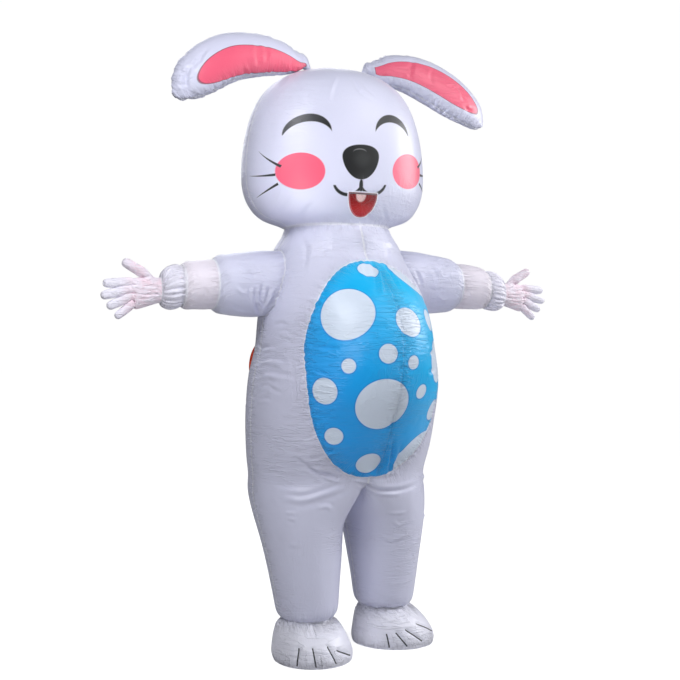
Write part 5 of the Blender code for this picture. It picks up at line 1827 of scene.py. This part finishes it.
def ear_seams(grid, rows, share, angle):
    """The ear's upper and lower seams, as seen from each of its points."""
    steps = np.linalg.norm(np.roll(grid, -1, axis=1) - grid, axis=2)
    around = np.cumsum(steps, axis=1) - steps
    girth = steps.sum(axis=1, keepdims=True)
    to_top = np.minimum(around, girth - around)
    to_bottom = np.abs(around - girth / 2)
    nearest = np.minimum(to_top, to_bottom).ravel()
    return Seams(
        (to_bottom < to_top).astype(int).ravel(), (share * rows[-1]).ravel(), nearest,
        np.where(np.sin(angle) + 0 * share > 0, 1, -1).ravel(),
        [rows[-1], rows[-1]], [(0.0, 2.4), (0.0, 1.8)], np.ones(share.size),
        EAR_GROOVE * np.exp(-((nearest / GROOVE_WIDTH) ** 2)),
    )


ear_cloth = cloth_material("ear_satin", printed=ear_print, wrinkles=0.6, crinkles=1.6)
ear_back_cloth = cloth_material("ear_back_satin", wrinkles=0.6, crinkles=1.6)
EAR_PANELS = {
    "front": ((0.245, 0.52), 0.0915, "ear_cloth", ear_cloth),
    "back": ((0.235, 0.52), 0.0856, "white_cloth", ear_back_cloth),
}
for hand in SIDES:
    grid, rows = loft(ear_rings(hand), EAR_STEP)
    angle = turns(EAR_COLUMNS)[None, :]
    share = (rows / rows[-1])[:, None] + 0 * angle
    print_map = ear_print_map(hand, share, np.cos(angle) + 0 * share) * EAR_PRINT_SCALE
    seams = ear_seams(grid, rows, share, angle)
    trial = cloth_grid("ear_trial", grid)
    points, outward = points_of(trial.data), normals_of(trial.data)
    sink = puckered(seams, rng)
    sink += creased(points, surface_tree(trial.data), EAR_CREASES[hand])
    bpy.data.objects.remove(trial)
    root = np.clip(share / EAR_ROOT_SHARE, 0, 1).ravel()
    moved = (points - outward * (sink * root)[:, None]).reshape(grid.shape)
    half, quarter, third = EAR_COLUMNS // 2, EAR_COLUMNS // 4, len(rows) // 3
    firsts = (0, half) if grid[third, quarter, 1] < grid[third, -quarter, 1] else (half, 0)
    for panel, first in zip(EAR_PANELS, firsts):
        columns = [(first + k) % EAR_COLUMNS for k in range(half + 1)]
        piece = cloth_grid(f"ear_{hand}_{panel}_cloth", moved[:, columns], closed=False)
        offset = points_of(piece.data) - np.repeat(moved.mean(axis=1), half + 1, axis=0)
        if np.einsum("ij,ij->i", normals_of(piece.data), offset).sum() < 0:
            piece.data.flip_normals()
        store = piece.data.attributes.new("print", "FLOAT", "POINT")
        store.data.foreach_set("value", print_map[:, columns].astype(np.float32).ravel())
        pick = (np.arange(len(rows))[:, None] * EAR_COLUMNS + np.array(columns)[None, :]).ravel()
        keep_seam_map(piece.data, seams._replace(
            run=seams.run[pick], along=seams.along[pick], away=seams.away[pick], apart=seams.apart[pick]))
        flat, area, slot, material = EAR_PANELS[panel]
        finish_cloth(piece, f"ear_{hand}_{panel}", material, flat, area, slot)

# ---- Zip ------------------------------------------------------------------------------------------
# A fine nylon zip down the middle of the back, on woven tape, with a painted slider and pull. Its
# teeth are small blocks that lock alternately from the left and from the right.
TEETH = 250
TOOTH_SIZE = (0.0032, 0.0010, 0.0013)
TOOTH_ASIDE = 0.0007
TOOTH_LIFT = 0.35
TAPE_END = 0.006
zip_low, zip_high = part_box("zip_tape")


def woven_material(name, colour, dark):
    made, tree, shader = new_material(name, Roughness=0.68)
    place = object_place(tree)
    ribs = noise(scaled(place, (1800, 600, 420)), 1.0, 1.0)
    shade = noise(place, 30.0, 2.0)
    woven = mixed(ramped(ribs, 0.35, 0.65, 0.0, 0.55), colour, dark)
    # Darker clouding at random over the tape, as wear.
    wear_and_wrinkle_shade = mixed(times(shade, 0.25), woven, dark)
    fill(shader.inputs["Base Color"], wear_and_wrinkle_shade)
    bumped(shader, times(ribs, 0.0003))
    return made


def moulded_material(name, colour, roughness, grain, metallic=0.0):
    """Moulded or painted parts: fine grain, faint lighter clouding and a scuffed roughness."""
    made, tree, shader = new_material(name, Metallic=metallic, Coat_Weight=0.25, Coat_Roughness=0.25)
    place = object_place(tree)
    cloud = noise(place, 60.0, 3.0)
    lighter = tuple(min(1.0, part * 1.25 + 0.02) for part in colour)
    fill(shader.inputs["Base Color"], mixed(ramped(cloud, 0.35, 0.75), colour, lighter))
    scuff = times(noise(place, 240.0, 2.0), 0.18)
    fill(shader.inputs["Roughness"], plus(scuff, roughness - 0.09))
    bumped(shader, times(noise(place, 900.0, 1.0), grain))
    return made


tape_weave = woven_material("zip_tape_weave", (0.74, 0.75, 0.84), (0.58, 0.59, 0.70))
zip_paint = moulded_material("zip_paint", (0.72, 0.73, 0.80), 0.32, 0.00005)
tooth_nylon = moulded_material("zip_nylon", (0.80, 0.81, 0.88), 0.38, 0.00004)
for node, finish in (("zip_tape", tape_weave), ("zip_slider", zip_paint), ("zip_pull", zip_paint)):
    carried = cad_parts[node]
    carried.data.materials.clear()
    carried.data.materials.append(finish)

tape_tree = surface_tree(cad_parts["zip_tape"].data)
slider_low, slider_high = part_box("zip_slider")
tooth_rows = []
for k in range(TEETH):
    height = zip_low.z + TAPE_END + (zip_high.z - zip_low.z - 2 * TAPE_END) * k / (TEETH - 1)
    if slider_low.z - 0.001 < height < slider_high.z + 0.001:
        continue
    x = TOOTH_ASIDE * (1 if k % 2 else -1)
    hit = tape_tree.ray_cast(Vector((x, 1, height)), Vector((0, -1, 0)))[0]
    if hit:
        tooth_rows.append(hit + Vector((0, TOOTH_SIZE[1] * TOOTH_LIFT, 0)))
bpy.ops.mesh.primitive_cube_add(size=1, location=(0, 0, 0))
tooth = bpy.context.object
bpy.ops.object.mode_set(mode="EDIT")
bpy.ops.transform.resize(value=TOOTH_SIZE)
bpy.ops.mesh.bevel(offset=0.00025, segments=1)
bpy.ops.object.mode_set(mode="OBJECT")
tooth_points = points_of(tooth.data)
tooth_faces = [tuple(face.vertices) for face in tooth.data.polygons]
all_points = np.concatenate([tooth_points + np.array(row) for row in tooth_rows])
all_faces = [
    tuple(v + len(tooth_points) * k for v in face) for k in range(len(tooth_rows)) for face in tooth_faces
]
bpy.data.objects.remove(tooth)
teeth_mesh = bpy.data.meshes.new("zip_teeth")
teeth_mesh.from_pydata(all_points.tolist(), [], all_faces)
teeth_mesh.materials.append(tooth_nylon)
teeth = new_object("zip_teeth", teeth_mesh)
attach(teeth, "root")

# ---- Blower's guard -------------------------------------------------------------------------------
# An orange moulded ring set through the cloth at the right of the back, with rings and spokes that
# keep fingers from the blower behind it.
GUARD_SPOKES = 8
guard_orange = moulded_material("guard_plastic", (0.83, 0.085, 0.020), 0.40, 0.00006)
upward = (Vector((0, 0, 1)) - FAN_OUTWARD * FAN_OUTWARD.z).normalized()
sideways = upward.cross(FAN_OUTWARD)
stand = Matrix((
    (sideways.x, upward.x, FAN_OUTWARD.x, FAN_MIDDLE.x),
    (sideways.y, upward.y, FAN_OUTWARD.y, FAN_MIDDLE.y),
    (sideways.z, upward.z, FAN_OUTWARD.z, FAN_MIDDLE.z),
    (0, 0, 0, 1),
))
guard_parts = []


def turned_ring(profile, count=96):
    """A closed profile of radius and lift, spun round the guard's axis."""
    ring = bmesh.new()
    verts = [
        [ring.verts.new((r * math.cos(a), r * math.sin(a), lift)) for r, lift in profile]
        for a in (2 * math.pi * k / count for k in range(count))
    ]
    for k in range(count):
        for j in range(len(profile)):
            after, onward = (k + 1) % count, (j + 1) % len(profile)
            ring.faces.new((verts[k][j], verts[after][j], verts[after][onward], verts[k][onward]))
    bmesh.ops.recalc_face_normals(ring, faces=ring.faces[:])
    mesh = bpy.data.meshes.new("ring")
    ring.to_mesh(mesh)
    ring.free()
    guard_parts.append(new_object("ring", mesh))


turned_ring([
    (0.0470, -0.0105), (0.0560, -0.0105), (0.0560, 0.0010), (0.0590, 0.0016), (0.0598, 0.0028),
    (0.0588, 0.0040), (0.0520, 0.0056), (0.0462, 0.0056), (0.0450, 0.0046), (0.0450, -0.0040),
])
for radius in (0.0350, 0.0250):
    turned_ring([
        (radius - 0.0012, 0.0016), (radius + 0.0012, 0.0016), (radius + 0.0014, 0.0030),
        (radius + 0.0008, 0.0042), (radius - 0.0008, 0.0042), (radius - 0.0014, 0.0030),
    ], 72)
bpy.ops.mesh.primitive_uv_sphere_add(segments=40, ring_count=16, radius=0.0150, location=(0, 0, 0))
hub = bpy.context.object
hub_points = points_of(hub.data)
hub_points[:, 2] = np.clip(hub_points[:, 2], -0.0012, 1) * 0.30 + 0.0018
set_points(hub.data, hub_points)
guard_parts.append(hub)
for k in range(GUARD_SPOKES):
    angle = 2 * math.pi * k / GUARD_SPOKES
    bpy.ops.mesh.primitive_cube_add(size=1, location=(0, 0, 0))
    spoke = bpy.context.object
    spoke.data.transform(Matrix.Diagonal((0.0335, 0.0024, 0.0026, 1)))
    spoke.data.transform(Matrix.Rotation(angle, 4, "Z") @ Matrix.Translation((0.0300, 0, 0.0030)))
    apply_modifier(spoke, "BEVEL", width=0.0005, segments=2)
    guard_parts.append(spoke)
select_only(*guard_parts)
bpy.ops.object.join()
guard = guard_parts[0]
guard.name = guard.data.name = "blower_guard"
guard.data.transform(stand)
dress(guard, guard_orange, math.radians(35))
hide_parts("fan_guard")
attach(guard, "root")

# ---- Floor, light and camera ----------------------------------------------------------------------
# A grey floor painted pale by a glow that the camera alone sees, painted light that fades into a
# white ground away from the costume, a soft lamp above and to the right with others round it, a tall
# narrow one that draws the satin's upright shine, and the camera at chest height.
bpy.ops.mesh.primitive_plane_add(size=60, location=(0, 0, FLOOR))
floor = bpy.context.object
floor.name = "floor"
made, tree, shader = new_material("pale_floor", Roughness=0.85, Emission_Strength=1.0)
shader.inputs["Base Color"].default_value = (0.60, 0.60, 0.61, 1)
far = tree.nodes.new("ShaderNodeVectorMath")
far.operation = "LENGTH"
fill(far.inputs[0], object_place(tree))
# Painted light: the floor glows for camera rays only, dimmer near the costume and white further off.
glow = ramped(far.outputs["Value"], 1.0, 2.6, 0.78, 1.0)
glow = times(glow, tree.nodes.new("ShaderNodeLightPath").outputs["Is Camera Ray"])
fill(shader.inputs["Emission Color"], combined(glow, glow, glow))
floor.data.materials.append(made)

world = bpy.data.worlds.new("studio")
bpy.context.scene.world = world
world.use_nodes = True
tree = world.node_tree
ground = tree.nodes["Background"]
ground.inputs["Color"].default_value = (1, 1, 1, 1)
seen = times(tree.nodes.new("ShaderNodeLightPath").outputs["Is Camera Ray"], 0.98)
fill(ground.inputs["Strength"], plus(seen, 0.03))
for name, place, aim, width, height, spread, power, colour in (
    ("key", (1.15, -1.75, 1.75), (0, 0, 0.20), 1.3, 1.3, 180, 18, (1.0, 1.0, 1.0)),
    ("arms", (-1.6, -1.4, 1.4), (-0.4, 0, 0.05), 0.9, 0.9, 180, 32, (0.95, 0.96, 1.0)),
    ("low", (-1.1, -1.3, -0.1), (-0.1, 0, 0.25), 0.5, 0.5, 180, 5.4, (1.0, 1.0, 1.0)),
    ("chin", (-1.1, -1.2, -0.8), (-0.12, -0.15, 0.26), 0.3, 0.3, 22, 0.15, (1.0, 1.0, 1.0)),
    ("strip", (1.3, -2.75, -0.45), (0, 0, -0.45), 0.20, 2.0, 180, 7, (0.97, 0.98, 1.0)),
    ("side", (3.0, -0.8, 0.9), (0, 0, 0.1), 1.6, 1.6, 180, 70, (0.98, 0.98, 1.0)),
    ("back", (0.4, 3.0, 1.8), (0, 0, 0), 2.4, 2.4, 180, 48, (0.95, 0.96, 1.0)),
):
    lamp = bpy.data.lights.new(name, "AREA")
    lamp.shape = "RECTANGLE"
    lamp.size, lamp.size_y, lamp.energy, lamp.color = width, height, power, colour
    lamp.spread = math.radians(spread)
    holder = new_object(name, lamp)
    holder.location = place
    holder.rotation_euler = (Vector(aim) - Vector(place)).to_track_quat("-Z", "Y").to_euler()

VIEW_TURN = math.radians(-25)
VIEW_DISTANCE = 3.5
VIEW_ASIDE = 0.013
VIEW_LEVEL = -0.30
SENSOR_WIDTH = 36
FOCAL_SHARE = 1060 / 680
across = Vector((math.cos(VIEW_TURN), math.sin(VIEW_TURN), 0))
ahead = Vector((-math.sin(VIEW_TURN), math.cos(VIEW_TURN), 0))
lens = bpy.data.cameras.new("camera")
lens.lens = SENSOR_WIDTH * FOCAL_SHARE
lens.clip_end = 100
camera = new_object("camera", lens)
camera.location = across * VIEW_ASIDE - ahead * VIEW_DISTANCE + Vector((0, 0, VIEW_LEVEL))
camera.rotation_euler = ahead.to_track_quat("-Z", "Y").to_euler()
bpy.context.scene.camera = camera
bpy.context.scene.view_settings.view_transform = "Standard"
